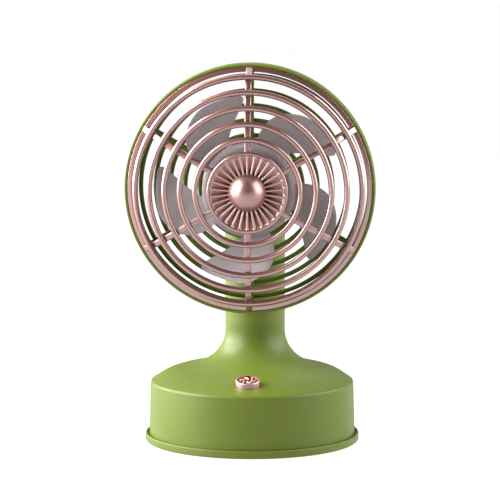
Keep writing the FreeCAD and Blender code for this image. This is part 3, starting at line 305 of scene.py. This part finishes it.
def bare_metal(name, colour, roughness, stretch=(1, 1, 40)):
    """Turned or drawn metal with fine lines and faint tarnish."""
    made, tree, shader, place = start_material(name)
    mapping = node(tree, "ShaderNodeMapping")
    mapping.inputs["Scale"].default_value = stretch
    tree.links.new(place, mapping.inputs["Vector"])
    lines = noise(tree, mapping.outputs["Vector"], 400, 2)
    low, high = shades(colour, 0.12)
    tone = blend_colour(tree, noise(tree, place, 90, 4), low, high)
    tree.links.new(tone, shader.inputs["Base Color"])
    tree.links.new(remap(tree, lines, roughness - 0.06, roughness + 0.1), shader.inputs["Roughness"])
    bump(tree, shader, [(lines, 0.00001)])
    shader.inputs["Metallic"].default_value = 1.0
    return made


def circuit_board(name):
    """Solder mask over copper tracks that run in steps."""
    made, tree, shader, place = start_material(name)
    tracks = node(tree, "ShaderNodeTexBrick", Scale=260, Mortar_Size=0.12)
    tree.links.new(place, tracks.inputs["Vector"])
    tone = blend_colour(tree, tracks.outputs["Fac"], (0.006, 0.07, 0.03), (0.012, 0.13, 0.05), 0.2, 0.6)
    tree.links.new(tone, shader.inputs["Base Color"])
    bump(tree, shader, [(tracks.outputs["Fac"], 0.00003)])
    shader.inputs["Roughness"].default_value = 0.35
    return made


# how far behind the shroud's widest circle the medallion's painted shade starts and is darkest
MEDALLION_SHADE_DEPTHS = (-28.1, -26.2)


def make_materials():
    hollow = [(HEAD.y + depth) * MM for depth in MEDALLION_SHADE_DEPTHS]
    return {
        "green_plastic": moulded("green_satin", (0.098, 0.131, 0.013), 0.42, 0.04,
                                 worn=(0.14, 0.185, 0.025), gloss=0.3),
        "rose_paint": metallic_paint("rose_metallic", (0.3, 0.124, 0.102), 0.46, gloss=0.85),
        "rose_dome": metallic_paint("rose_metallic_dome", (0.29, 0.112, 0.094), 0.46, gloss=0.7, blur=0.32),
        "rose_hollow_painted_shade": metallic_paint("rose_metallic_painted_shade", (0.37, 0.175, 0.15), 0.5, hollow=hollow),
        # the button cap uses a lighter copy of the rose paint, as painted light on its wall
        "rose_button_lightened": metallic_paint("rose_metallic_button_lightened", (0.55, 0.31, 0.32), 0.5, gloss=0.7),
        # a pale copy of the rose paint for the button's vanes, as painted highlights
        "rose_vane_painted_highlight": metallic_paint("rose_metallic_vane_painted_highlight", (0.72, 0.58, 0.54), 0.7, gloss=0.4),
        # a dark copy of the rose paint for the button's dish floor, as painted shade in the recess
        "rose_dish_painted_shade": metallic_paint("rose_metallic_dish_painted_shade", (0.25, 0.07, 0.035), 0.55, gloss=0.1),
        "mauve_plastic": moulded("mauve_satin", (0.375, 0.326, 0.336), 0.55, 0.04,
                                 worn=(0.36, 0.31, 0.32), gloss=0.14),
        "rubber": moulded("black_rubber", (0.022, 0.022, 0.023), 0.72, 0.15,
                          worn=(0.05, 0.05, 0.05), grain=4000, depth=0.00004),
        "steel": bare_metal("zinc_steel", (0.56, 0.57, 0.58), 0.32),
        "bronze": bare_metal("sintered_bronze", (0.50, 0.33, 0.15), 0.42),
        "copper": bare_metal("copper_wire", (0.62, 0.26, 0.12), 0.3, (1, 60, 60)),
        "ferrite": moulded("ferrite_magnet", (0.05, 0.05, 0.055), 0.55, 0.2),
        "black_plastic": moulded("black_moulding", (0.018, 0.018, 0.02), 0.45, 0.1),
        "circuit_board": circuit_board("board_mask"),
        "cell_wrap": moulded("cell_sleeve", (0.03, 0.13, 0.32), 0.25, 0.04),
        "lead_sleeve": moulded("lead_sleeving", (0.03, 0.03, 0.033), 0.6, 0.1),
    }


# ---------------------------------------------------------------- shape helpers

def head_place(rearward, across, up):
    return (HEAD.x + across, HEAD.y + rearward, HEAD.z + up)


def base_place(height, across, back):
    return (across, back, height)


def circle(count):
    """The angles of evenly spaced points round a circle."""
    return [2 * math.pi * step / count for step in range(count)]


def rounded(points, closed=False, step=math.radians(9)):
    """A polyline through (x, y, radius) corners, each rounded by an arc in steps of at most an angle."""
    count = len(points)
    path = []
    for index, (x, y, radius) in enumerate(points):
        here = Vector((x, y))
        if radius == 0 or (not closed and index in (0, count - 1)):
            path.append((x, y))
            continue
        before = (Vector(points[index - 1][:2]) - here).normalized()
        after = (Vector(points[(index + 1) % count][:2]) - here).normalized()
        half = before.angle(after) / 2
        centre = here + (before + after).normalized() * radius / math.sin(half)
        start = here + before * radius / math.tan(half) - centre
        sweep = math.pi - 2 * half
        if start.x * (here - centre).y - start.y * (here - centre).x < 0:
            sweep = -sweep
        pieces = max(2, math.ceil(abs(sweep) / step))
        for piece in range(pieces + 1):
            turn = sweep * piece / pieces
            path.append((
                centre.x + start.x * math.cos(turn) - start.y * math.sin(turn),
                centre.y + start.x * math.sin(turn) + start.y * math.cos(turn),
            ))
    return path


def smooth_through(points, per_span=10):
    """A curve with continuous curvature through (x, y) points, spaced by chord length."""
    values = np.array(points, float)
    knots = np.concatenate([[0], np.cumsum(np.hypot(*np.diff(values, axis=0).T))])
    gaps = np.diff(knots)
    count = len(points)
    system = np.zeros((count, count))
    right = np.zeros((count, 2))
    system[0, :2] = (2, 1)
    right[0] = 3 * (values[1] - values[0]) / gaps[0]
    system[-1, -1] = 1
    right[-1] = (values[-1] - values[-2]) / gaps[-1]
    for i in range(1, count - 1):
        system[i, i - 1:i + 2] = (gaps[i], 2 * (gaps[i - 1] + gaps[i]), gaps[i - 1])
        before = (values[i] - values[i - 1]) / gaps[i - 1]
        after = (values[i + 1] - values[i]) / gaps[i]
        right[i] = 3 * (gaps[i] * before + gaps[i - 1] * after)
    slopes = np.linalg.solve(system, right)
    path = []
    for i in range(count - 1):
        for piece in range(per_span):
            u = piece / per_span
            path.append(tuple(
                (1 + 2 * u) * (1 - u) ** 2 * values[i] + u * (1 - u) ** 2 * gaps[i] * slopes[i]
                + u * u * (3 - 2 * u) * values[i + 1] + u * u * (u - 1) * gaps[i] * slopes[i + 1]
            ))
    path.append(tuple(values[-1]))
    return path


class Build:
    """Collects vertices, in millimetres, and faces for one piece."""

    def __init__(self):
        self.vertices = []
        self.faces = []

    def grid(self, rows, wrap_rows=False):
        """Join rows of points that each run round to their start; a row of one point is a pole."""
        starts = []
        for row in rows:
            starts.append(len(self.vertices))
            self.vertices.extend(row)
        pairs = list(zip(range(len(rows) - 1), range(1, len(rows))))
        if wrap_rows:
            pairs.append((len(rows) - 1, 0))
        for low, high in pairs:
            columns = max(len(rows[low]), len(rows[high]))
            for column in range(columns):
                following = (column + 1) % columns
                corners = []
                for row, place in ((low, column), (low, following), (high, following), (high, column)):
                    corner = starts[row] + (place if len(rows[row]) > 1 else 0)
                    if corner not in corners:
                        corners.append(corner)
                if len(corners) > 2:
                    self.faces.append(corners)

    def rod(self, rows):
        """Join rows of equally many points, and close both ends."""
        start = len(self.vertices)
        self.grid(rows)
        end = len(self.vertices)
        width = len(rows[0])
        self.faces.append(list(range(start, start + width))[::-1])
        self.faces.append(list(range(end - width, end)))

    def lathe(self, profile, place, closed=False, around=AROUND):
        """Turn (along, radius) points about an axis; a radius of 0 makes a pole."""
        rows = []
        for along, radius in profile:
            if radius < 1e-6:
                rows.append([place(along, 0, 0)])
                continue
            rows.append([place(along, radius * math.cos(a), radius * math.sin(a)) for a in circle(around)])
        self.grid(rows, wrap_rows=closed)

    def copy_round(self, first_vertex, first_face, count, turn=0.0):
        """Repeat what was added since then, count times in all, round the head's axis."""
        vertices = self.vertices[first_vertex:]
        faces = self.faces[first_face:]
        for number, angle in enumerate(circle(count)):
            cos, sin = math.cos(turn + angle), math.sin(turn + angle)
            turned = []
            for x, y, z in vertices:
                across, up = x - HEAD.x, z - HEAD.z
                turned.append((HEAD.x + across * cos - up * sin, y, HEAD.z + across * sin + up * cos))
            if number == 0:
                self.vertices[first_vertex:] = turned
                continue
            shift = len(self.vertices) - first_vertex
            self.vertices.extend(turned)
            self.faces.extend([[corner + shift for corner in face] for face in faces])

    def piece(self, name, body, slot, *replaced, sharp=SHARP, paint=None):
        """Make the object, smooth but for edges sharper than an angle, riding on a body.

        Paint is the material to use where the slot's own one isn't.
        """
        mesh = bpy.data.meshes.new(name)
        mesh.from_pydata([Vector(point) * MM for point in self.vertices], [], self.faces)
        shaped = bmesh.new()
        shaped.from_mesh(mesh)
        bmesh.ops.recalc_face_normals(shaped, faces=shaped.faces)
        shaped.to_mesh(mesh)
        shaped.free()
        made = bpy.data.objects.new(name, mesh)
        bpy.context.scene.collection.objects.link(made)
        finish_mesh(made, sharp)
        mesh.materials.append(MATERIALS[paint or slot])
        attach(made, body)
        if replaced:
            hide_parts(*replaced)
        return made


def finish_mesh(made, sharp=SHARP):
    """Shade a piece smooth but for edges sharper than an angle in degrees."""
    made.data.shade_smooth()
    made.data.set_sharp_from_angle(angle=math.radians(sharp))


def apply_modifiers(made):
    """Turn a piece's modifiers into its mesh."""
    graph = bpy.context.evaluated_depsgraph_get()
    mesh = bpy.data.meshes.new_from_object(made.evaluated_get(graph))
    made.modifiers.clear()
    old = made.data
    made.data = mesh
    bpy.data.meshes.remove(old)
    finish_mesh(made)


def combine(made, others, operation):
    """Cut other shapes out of a piece (DIFFERENCE) or add them to it (UNION), and use them up."""
    for other in others:
        modifier = made.modifiers.new("combine", "BOOLEAN")
        modifier.operation = operation
        modifier.solver = "EXACT"
        modifier.object = other
    apply_modifiers(made)
    for other in others:
        bpy.data.objects.remove(other)


BEVEL_ANGLE = math.radians(50)


def bevel(made, width, segments=3, above=-math.inf):
    """Round the edges that are sharper than the bevel angle and lie above a height."""
    shaped = bmesh.new()
    shaped.from_mesh(made.data)
    weight = shaped.edges.layers.float.new("bevel_weight_edge")
    for edge in shaped.edges:
        high_enough = min(corner.co.z for corner in edge.verts) > above * MM
        if high_enough and edge.calc_face_angle(0) > BEVEL_ANGLE:
            edge[weight] = 1.0
    shaped.to_mesh(made.data)
    shaped.free()
    modifier = made.modifiers.new("bevel", "BEVEL")
    modifier.width = width * MM
    modifier.segments = segments
    modifier.limit_method = "WEIGHT"
    apply_modifiers(made)


def prism(outline, low, high, matrix):
    """A shape to cut or join with: an outline in millimetres from one height to another, then placed."""
    shaped = bmesh.new()
    bottom = [shaped.verts.new(Vector((x, y, low)) * MM) for x, y in outline]
    top = [shaped.verts.new(Vector((x, y, high)) * MM) for x, y in outline]
    shaped.faces.new(bottom[::-1])
    shaped.faces.new(top)
    for side in range(len(outline)):
        following = (side + 1) % len(outline)
        shaped.faces.new((bottom[side], bottom[following], top[following], top[side]))
    mesh = bpy.data.meshes.new("prism")
    shaped.to_mesh(mesh)
    shaped.free()
    mesh.transform(matrix)
    made = bpy.data.objects.new("prism", mesh)
    bpy.context.scene.collection.objects.link(made)
    return made


def disc(radius, around=64):
    return [(radius * math.cos(a), radius * math.sin(a)) for a in circle(around)]


# ---------------------------------------------------------------- base

DRUM_RADIUS = 61.0
SHOULDER = (60.08, 35.45)
CROWN_RADIUS = 58.5
NECK_RADIUS = 18.0
NECK_TOP = 70.0
NECK_SCREW = 65.0
NECK_SCREW_HOLE = 1.6
WALL = 2.2
SLIDE_EASE = 1.34
# radius and height along the crown, from its edge into the neck
CROWN = ((CROWN_RADIUS, 36.15), (52.1, 39.3), (36.5, 41.5), (26.7, 45.0), (20.7, 51.2), (NECK_RADIUS, 60),
         (NECK_RADIUS, 66))

BUTTON_TILT = math.radians(13)
BUTTON_TOP = Vector((0, -44, 43))
BUTTON_RADIUS = 7.0
BUTTON_GAP = 0.4
SOCKET_GAP = 0.3
BUTTON_FRAME = Matrix.Translation(BUTTON_TOP * MM) @ Matrix.Rotation(BUTTON_TILT, 4, "X")


def slide_back(radius):
    """How far back a circle of the crown lies: quickly at first, then easing into the neck."""
    openness = max(0.0, (radius - NECK_RADIUS) / (CROWN_RADIUS - NECK_RADIUS))
    return NECK_AXIS * (1 - openness ** SLIDE_EASE) if radius < CROWN_RADIUS else 0.0


def shell_rows():
    """The shell's outer skin as circles, from its foot to the top of the neck."""
    foot = [(DRUM_RADIUS - 0.5, 3.5), (DRUM_RADIUS - 0.12, 3.65), (DRUM_RADIUS, 4.1)]
    shoulder = rounded([(DRUM_RADIUS, 4.2, 0), (*SHOULDER, 1.8), (52.1, 39.05, 0)], step=0.12)
    crown = smooth_through(CROWN)
    drum = [point for point in shoulder[:-1] if point[1] < crown[0][1] - 0.1]
    rows = []
    for radius, height in foot + drum + crown + [(NECK_RADIUS, NECK_TOP)]:
        middle = slide_back(radius) if height > CROWN[0][1] else 0.0
        if height > CROWN[-1][1]:
            middle = NECK_AXIS
        rows.append([(radius * math.cos(a), middle + radius * math.sin(a), height) for a in circle(AROUND)])
    return rows


def drilling(height, back):
    """The frame of a level cut in the shell's back: a drawing's height runs backwards from a point."""
    return Matrix.Translation(Vector((0, back, height)) * MM) @ Matrix.Rotation(math.radians(-90), 4, "X")


def make_shell():
    """Drum, crown and neck in one skin, thickened inwards, with holes for button, socket and screw."""
    build = Build()
    build.grid(shell_rows())
    shell = build.piece("shell_moulding", "base", "green_plastic", "base_shell")
    thick = shell.modifiers.new("wall", "SOLIDIFY")
    thick.thickness = WALL * MM
    thick.offset = -1
    thick.use_even_offset = True
    apply_modifiers(shell)
    button_hole = prism(disc(BUTTON_RADIUS + BUTTON_GAP), -12, 6, BUTTON_FRAME)
    port_low, port_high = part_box("usb_port")
    middle = (port_low + port_high) / 2 / MM
    half = (port_high - port_low) / 2 / MM
    reach = half.x - half.z
    outline = [(reach + x, z) if x > 0 else (x - reach, z) for x, z in disc(half.z + SOCKET_GAP)]
    socket_hole = prism(outline, DRUM_RADIUS - 6, DRUM_RADIUS + 3, drilling(middle.z, 0))
    neck_frame = drilling(NECK_SCREW, NECK_AXIS)
    screw_hole = prism(disc(NECK_SCREW_HOLE, 32), NECK_RADIUS - 4, NECK_RADIUS + 2, neck_frame)
    combine(shell, [button_hole, socket_hole, screw_hole], "DIFFERENCE")


def make_tray():
    """Shallow tray whose thin lip stands round the shell's foot with a dark gap between them."""
    outline = rounded([
        (0, 1.5, 0), (57.2, 1.5, 0), (57.2, 0.1, 0.3), (63.3, 0.1, 0.9), (63.3, 4.6, 0.6),
        (61.9, 4.6, 0.5), (61.9, 3.5, 0), (0, 3.5, 0),
    ])
    build = Build()
    build.lathe([(height, radius) for radius, height in outline], base_place)
    build.piece("tray_moulding", "base", "green_plastic", "base_tray")


def make_foot():
    """Rubber disc with concentric grooves underneath."""
    outline = [(1.5, 0), (1.5, 57), (0.35, 57), (0, 56.6)]
    for groove in range(5):
        outer = 54 - 9 * groove
        outline += [(0, outer), (0.6, outer - 0.5), (0.6, outer - 1.5), (0, outer - 2)]
    outline += [(0, 0)]
    build = Build()
    build.lathe(outline, base_place)
    build.piece("rubber_foot", "base", "rubber", "foot_pad", sharp=25)


def make_fork():
    """Round column end under a dome, slotted for the tilt arm."""
    bottom = NECK_TOP - PIVOT.z
    plug, plug_depth = 15.6, 10
    outline = rounded([
        (bottom - plug_depth, 0, 0), (bottom - plug_depth, plug, 0.5), (bottom, plug, 0),
        (bottom, NECK_RADIUS, 0), (0, NECK_RADIUS, 0),
    ])
    for a in np.linspace(0.04, math.pi / 2, 40)[:-1]:
        outline.append((NECK_RADIUS * math.sin(a), NECK_RADIUS * math.cos(a)))
    outline.append((NECK_RADIUS, 0))

    def place(along, across, back):
        return (PIVOT.x + across, PIVOT.y + back, PIVOT.z + along)

    build = Build()
    build.lathe(outline, place)
    fork = build.piece("fork_moulding", "base", "green_plastic", "tilt_fork")
    sideways = Matrix.Translation(PIVOT * MM) @ SIDE_VIEW
    slot = [(-20, -12.5), (12, -12.5), (12, 20), (-20, 20)]
    cuts = [prism(slot, -7.5, 7.5, sideways)]
    cap_seat = disc(4.3, 48)
    for low, high in ((10, 30), (-30, -10)):
        cuts.append(prism(cap_seat, low, high, sideways))
    combine(fork, cuts, "DIFFERENCE")
    bevel(fork, 0.45, above=NECK_TOP + 1)


DISH_FLOOR = -0.9
DISH_RADIUS = 5.7
VANES = 6
VANE_TURN = 0.35
VANE_START = 2.1
VANE_LENGTH = 2.6
VANE_SWEEP = 0.75
# each vane's section: share of its half width, and height from the rim's top
VANE_SECTION = ((-1, -0.95), (-0.85, -0.25), (-0.5, -0.08), (0.5, -0.08), (0.85, -0.25), (1, -0.95))


def button_place(along, across, back):
    return tuple(BUTTON_FRAME @ (Vector((across, back, along)) * MM) / MM)


def add_vane(build, start):
    """A curved vane, swept from an angle at the dish's middle outwards and thickest halfway."""
    rows = []
    for u in np.linspace(0, 1, 12):
        radius = VANE_START + VANE_LENGTH * u
        sweep = start + VANE_SWEEP * u
        half = 0.08 + 0.2 * math.sin(math.pi * min(1.0, 0.12 + 0.8 * u)) ** 0.8
        row = []
        for side, lift in VANE_SECTION:
            angle = sweep + side * half / radius
            row.append(button_place(lift, radius * math.cos(angle), radius * math.sin(angle)))
        rows.append(row)
    build.rod(rows)


def make_button():
    """Cap with a raised rim, and curved vanes set in its dish like a little fan."""
    outline = rounded([
        (DISH_FLOOR, 0, 0), (DISH_FLOOR, DISH_RADIUS, 0.25), (0, DISH_RADIUS, 0.3),
        (0, BUTTON_RADIUS, 0.55), (-7.4, BUTTON_RADIUS, 0), (-7.4, 8.2, 0.2), (-8.4, 8.2, 0.2),
        (-8.4, 2.0, 0), (-10.4, 2.0, 0.2), (-10.4, 0, 0),
    ])
    around = 128
    build = Build()
    build.lathe(outline, button_place, around=around)
    turned_faces = len(build.faces)
    for angle in circle(VANES):
        add_vane(build, angle + VANE_TURN)
    # the cap's wall is painted lighter than the grille, as painted light
    cap = build.piece("button_cap", "button", "rose_paint", "power_button", sharp=50, paint="rose_button_lightened")
    # the dish floor gets the dark paint, as painted shade
    cap.data.materials.append(MATERIALS["rose_dish_painted_shade"])
    # the vanes get the pale paint, as painted highlights
    cap.data.materials.append(MATERIALS["rose_vane_painted_highlight"])
    in_dish = [along < DISH_FLOOR + 0.1 and radius < DISH_RADIUS - 0.1 for along, radius in outline]
    floor_rows = sum(in_dish)
    for polygon in cap.data.polygons[:floor_rows * around]:
        polygon.material_index = 1
    for polygon in cap.data.polygons[turned_faces:]:
        polygon.material_index = 2


# ---------------------------------------------------------------- head

SPOKES = 6
SPOKE_WIDTH = 3.7
GUARD_PLANE = 12.0
GUARD_RINGS = (30.05, 38.74, 47.43, 56.11, 64.8)
GUARD_REACH = 68.9
SHROUD_RADIUS = 72.97
# radii of the band's curve ahead of the shroud's widest circle and behind it
SHROUD_FRONT_CURVE = 60.0
SHROUD_CURVE = 33.0
LOCK_PLACE = -4.5
# middle radius of each front ring and how far ahead of the shroud's widest circle it stands
GRILLE_RINGS = ((30.2, 26.4), (39.0, 26.0), (48.0, 24.4), (56.8, 21.6), (65.4, 16.6))
WIRE = 1.68
CUP_FLOOR = -25.5
MEDALLION_FRONT = -28.3


def wire_ring(build, radius, rearward, half_width, half_depth):
    """A round bar bent to a ring."""
    section = [(rearward + half_depth * math.sin(a), radius + half_width * math.cos(a)) for a in circle(20)]
    build.lathe(section, head_place, closed=True)


def bar(build, path, width, depth, edge):
    """A flat bar with rounded edges that follows (rearward, radius) points up from the head's axis."""
    rows = []
    section = rounded([(-width / 2, 0, edge), (width / 2, 0, edge), (width / 2, depth, edge),
                       (-width / 2, depth, edge)], closed=True, step=0.5)
    for index, (along, radius) in enumerate(path):
        before = Vector(path[max(index - 1, 0)])
        after = Vector(path[min(index + 1, len(path) - 1)])
        run = (after - before).normalized()
        inward = Vector((run.y, -run.x))
        rows.append([head_place(along + inward.x * down, across, radius + inward.y * down)
                     for across, down in section])
    build.rod(rows)


def make_grille():
    """Cup, dished spokes that end in tabs on the rim, rings on the spokes and the rim with its skirt."""
    build = Build()
    build.lathe(rounded([
        (-23.7, 0, 0), (CUP_FLOOR, 0, 0), (CUP_FLOOR, 21.5, 0.3), (-29.1, 21.5, 0.5), (-29.1, 23.4, 0.9),
        (-23.7, 23.4, 0.6), (-23.7, 0.0, 0),
    ])[1:], head_place)
    vertex, face = len(build.vertices), len(build.faces)
    path = [(-26.0, 22.2), (-25.9, 30)] + smooth_through(
        [(-25.6, 36), (-24.6, 43), (-22.6, 51), (-19.2, 59.5), (-14.2, 66), (-9.6, 69.6)], 4)
    path += [(-8.75, 70.3), (-8.4, 70.6)]
    bar(build, path, SPOKE_WIDTH, 2.4, 0.75)
    build.copy_round(vertex, face, SPOKES)
    build.lathe(rounded([
        (-8.6, 68.0, 0.5), (-7.9, 70.8, 0.4), (-7.0, 70.8, 0.3), (-7.0, 69.6, 0), (-2.0, 69.6, 0.3),
        (-2.0, 68.0, 0.3),
    ], closed=True), head_place, closed=True)
    for radius, advance in GRILLE_RINGS:
        wire_ring(build, radius, -advance, WIRE, WIRE)
    build.piece("front_cage", "head", "rose_paint", "front_grille")


MEDALLION_RIBS = 30
MEDALLION_INNER = 10.6
MEDALLION_OUTER = 21.35
HOLLOW_DEPTH = 2.2
# across a rib, at distances from its middle line: the share of the hollow's depth there
RIB_SECTION = ((-0.72, 1.0), (-0.62, 0.42), (-0.52, 0.08), (-0.3, 0), (0.3, 0), (0.52, 0.08), (0.62, 0.42),
               (0.72, 1.0))


def medallion_stations(radius):
    """Angles right round the medallion, each with its share of the hollow's depth, at a radius."""
    pitch = 2 * math.pi / MEDALLION_RIBS
    edge = RIB_SECTION[-1][0] / radius
    stations = []
    for middle in circle(MEDALLION_RIBS):
        stations += [(middle + side / radius, share) for side, share in RIB_SECTION]
        for part in (0.2, 0.4, 0.6, 0.8):
            angle = middle + edge + (pitch - 2 * edge) * part
            stations.append((angle, 1 + 0.15 * math.sin(math.pi * part)))
    return stations


def make_medallion():
    """A disc of radial ribs; the hollows between them fall away towards the dome."""
    rows = []
    for u in np.linspace(0, 1, 27):
        radius = MEDALLION_INNER + (MEDALLION_OUTER - MEDALLION_INNER) * u
        depth = HOLLOW_DEPTH * (0.25 + 0.75 * (1 - u) ** 1.6) * min(1.0, (1 - u) / 0.12) ** 0.5
        rows.append([
            head_place(MEDALLION_FRONT + depth * share, radius * math.sin(angle), radius * math.cos(angle))
            for angle, share in medallion_stations(radius)
        ])
    for radius in (MEDALLION_OUTER, MEDALLION_INNER):
        rows.append([head_place(CUP_FLOOR, radius * math.sin(a), radius * math.cos(a))
                     for a in circle(len(rows[0]))])
    build = Build()
    build.grid(rows, wrap_rows=True)
    # the hollows between the ribs get painted shade that darkens with depth
    build.piece("ribbed_medallion", "head", "rose_paint", "grille_medallion", sharp=60, paint="rose_hollow_painted_shade")


def make_dome():
    """Part of a ball over the medallion's middle, on a stem that goes down to the cup's floor."""
    curve, tip, stem = 11.1, -37.8, 10.5
    reach = math.acos((curve - (MEDALLION_FRONT - tip)) / curve)
    outline = [(tip + curve * (1 - math.cos(a)), curve * math.sin(a)) for a in np.linspace(0, reach, 40)]
    outline += [(MEDALLION_FRONT + 0.4, outline[-1][1]), (-27.0, stem), (CUP_FLOOR, stem), (CUP_FLOOR, 0)]
    build = Build()
    build.lathe(outline, head_place, around=192)
    build.piece("polished_dome", "head", "rose_paint", "grille_dome", paint="rose_dome")


def make_shroud():
    """Band that curls in to a lip at the rear, with a seat for the grille's rim at the front."""
    band = []
    for along in np.linspace(-7.5, 8.5, 24):
        curve = SHROUD_FRONT_CURVE if along < 0 else SHROUD_CURVE
        band.append((along, SHROUD_RADIUS - curve + math.sqrt(curve ** 2 - along ** 2), 0))
    build = Build()
    build.lathe(rounded(band + [
        (14.6, 69.9, 1.2), (14.6, 67.8, 0.4), (13.2, 67.8, 0.3), (13.2, 69.3, 0.5), (8.5, 69.9, 6),
        (-6.8, 69.9, 0), (-6.8, 71.0, 0), (-8.0, 71.0, 0.2), (-8.0, 72.4, 0.45),
    ], closed=True, step=0.1), head_place, closed=True, around=320)
    shroud = build.piece("shroud_band", "head", "green_plastic", "shroud")
    down = Matrix.Translation((HEAD + Vector((0, LOCK_PLACE, 0))) * MM)
    combine(shroud, [prism(disc(1.98, 40), -SHROUD_RADIUS - 2, -71.7, down)], "DIFFERENCE")


def make_rear_guard():
    """Round bars on six flat ones that run from the motor's seat to the shroud's lip."""
    build = Build()
    for radius in GUARD_RINGS:
        wire_ring(build, radius, GUARD_PLANE, 1.32, 1.25)
    vertex, face = len(build.vertices), len(build.faces)
    bar(build, [(10.8, 22.5), (10.8, 40), (10.8, GUARD_REACH)], 3.4, -2.4, 0.6)
    build.copy_round(vertex, face, SPOKES)
    build.lathe(rounded([
        (-0.8, 4.2, 0), (-0.8, 15.5, 0.8), (10.8, 15.5, 0.6), (10.8, 24.0, 0.5), (13.2, 24.0, 0.5),
        (13.2, 13.7, 0), (1.0, 13.7, 0), (1.0, 4.2, 0),
    ], closed=True), head_place, closed=True)
    build.piece("guard_moulding", "head", "green_plastic", "rear_guard")


def make_motor_cover():
    """Cup over the motor, running into the tilt arm and its knuckle."""
    build = Build()
    cup = rounded([
        (13.2, 20.6, 0.2), (13.2, 22.4, 0.5), (28.5, 19.8, 4.5), (28.5, 0, 0), (26.7, 0, 0),
        (26.7, 18.0, 3),
    ])
    build.lathe(cup + cup[:1], head_place)
    cover = build.piece("cover_moulding", "head", "green_plastic", "motor_cover")
    pivot = PIVOT.y - HEAD.y
    side = rounded([(27.2, -8, 0), (pivot - 8.5, -8, 3), (pivot - 7, -8.3, 0)], step=0.3)[:-1]
    knuckle = [(pivot + 11 * math.cos(a), 11 * math.sin(a)) for a in np.linspace(-2.33, 2.33, 44)]
    outline = side + knuckle + [(x, -y) for x, y in side[::-1]]
    sideways = Matrix.Translation(HEAD * MM) @ SIDE_VIEW
    arm = prism(outline, -6.8, 6.8, sideways)
    bolt_hole = [(pivot + x, y) for x, y in disc(2.05, 40)]
    combine(arm, [prism(bolt_hole, -8, 8, sideways)], "DIFFERENCE")
    bevel(arm, 1.0, segments=4)
    combine(cover, [arm], "UNION")


HUB_RADIUS = 27.2
BLADE_ROOT = 26.0
BLADE_TIP = 54.4
BLADE_PLANE = -9.0
BLADE_CAMBER = 1.5
BLADE_HALF_THICKNESS = 0.85
BLADES = 5
BLADE_TURN = math.radians(29.6)


def blade_edges(radius):
    """Angles of a blade's two edges at a radius, anticlockwise from its middle line, corners rounded."""
    u = (radius - HUB_RADIUS) / (BLADE_TIP - HUB_RADIUS)
    first = math.radians(33 - 21 * u ** 1.9)
    second = -math.radians(1 + 25.5 * (1 - max(0.0, 1 - u) ** 1.5))
    return first - trimmed(radius, 12.0), second + trimmed(radius, 3.5)


def trimmed(radius, corner):
    """How much a rounded tip corner takes off a blade's edge at a radius, as an angle."""
    inside = max(0.0, radius - (BLADE_TIP - corner))
    return (corner - math.sqrt(max(0.0, corner ** 2 - inside ** 2))) / radius


def make_impeller():
    """Domed hub with wide pitched blades that thin towards their edges."""
    build = Build()
    build.lathe(rounded([
        (-16.0, 0, 0), (-16.0, HUB_RADIUS, 4.2), (-2.5, HUB_RADIUS, 0.4), (-2.5, 25.4, 0.4),
        (-13.8, 25.4, 2), (-13.8, 5.2, 0.5), (-2.6, 5.2, 0.3), (-2.6, 2.6, 0), (-12.4, 2.6, 0),
        (-12.4, 0, 0),
    ]), head_place)
    vertex, face = len(build.vertices), len(build.faces)
    chordwise, stations = 18, 26
    front, back = [], []
    for station in range(stations + 1):
        v = station / stations
        radius = BLADE_ROOT + (BLADE_TIP - BLADE_ROOT) * (1 - (1 - v) ** 1.6)
        first, second = blade_edges(max(radius, HUB_RADIUS))
        pitch = math.radians(38 - 17 * v)
        middle = (first + second) / 2
        rows = ([], [])
        for step in range(chordwise + 1):
            c = step / chordwise
            angle = first + (second - first) * c
            offset = radius * (angle - middle)
            camber = BLADE_CAMBER * (1 - (2 * c - 1) ** 2) * (1 - 0.4 * v)
            depth = BLADE_PLANE - offset * math.tan(pitch) * 0.72 + camber
            edge = min(1.0, 4 * c + 0.12, 4 * (1 - c) + 0.12, (BLADE_TIP - radius) * 0.6 + 0.15)
            half = BLADE_HALF_THICKNESS * math.sqrt(edge)
            for row, side in zip(rows, (-half, half)):
                row.append(head_place(depth + side, -radius * math.sin(angle), radius * math.cos(angle)))
        front.append(rows[0])
        back.append(rows[1])
    closed_rows = [near + far[::-1] for near, far in zip(front, back)]
    start = len(build.vertices)
    build.grid(closed_rows)
    width = len(closed_rows[0])
    for edge in (0, len(closed_rows) - 1):
        row = start + edge * width
        for step in range(chordwise):
            corners = [row + step, row + step + 1, row + width - 2 - step, row + width - 1 - step]
            build.faces.append(corners)
    build.copy_round(vertex, face, BLADES, BLADE_TURN)
    build.piece("bladed_impeller", "rotor", "mauve_plastic", "impeller", sharp=50)


# ---------------------------------------------------------------- CAD pieces that keep their shape

def dress_cad_nodes():
    """Give every CAD piece its material, and smooth shading where its faces meet at a shallow angle."""
    slots = {part["node"]: part["material_slot"] for part in frame["record"]["subparts"]}
    for name, made in frame["nodes"].items():
        made.data.materials.clear()
        made.data.materials.append(MATERIALS[slots[name]])
        finish_mesh(made, sharp=30)


bpy.context.scene.view_settings.view_transform = "Standard"
make_camera()
make_softboxes()
make_surround()
make_floor()
MATERIALS = make_materials()
dress_cad_nodes()
make_shell()
make_tray()
make_foot()
make_fork()
make_button()
make_grille()
make_medallion()
make_dome()
make_shroud()
make_rear_guard()
make_motor_cover()
make_impeller()
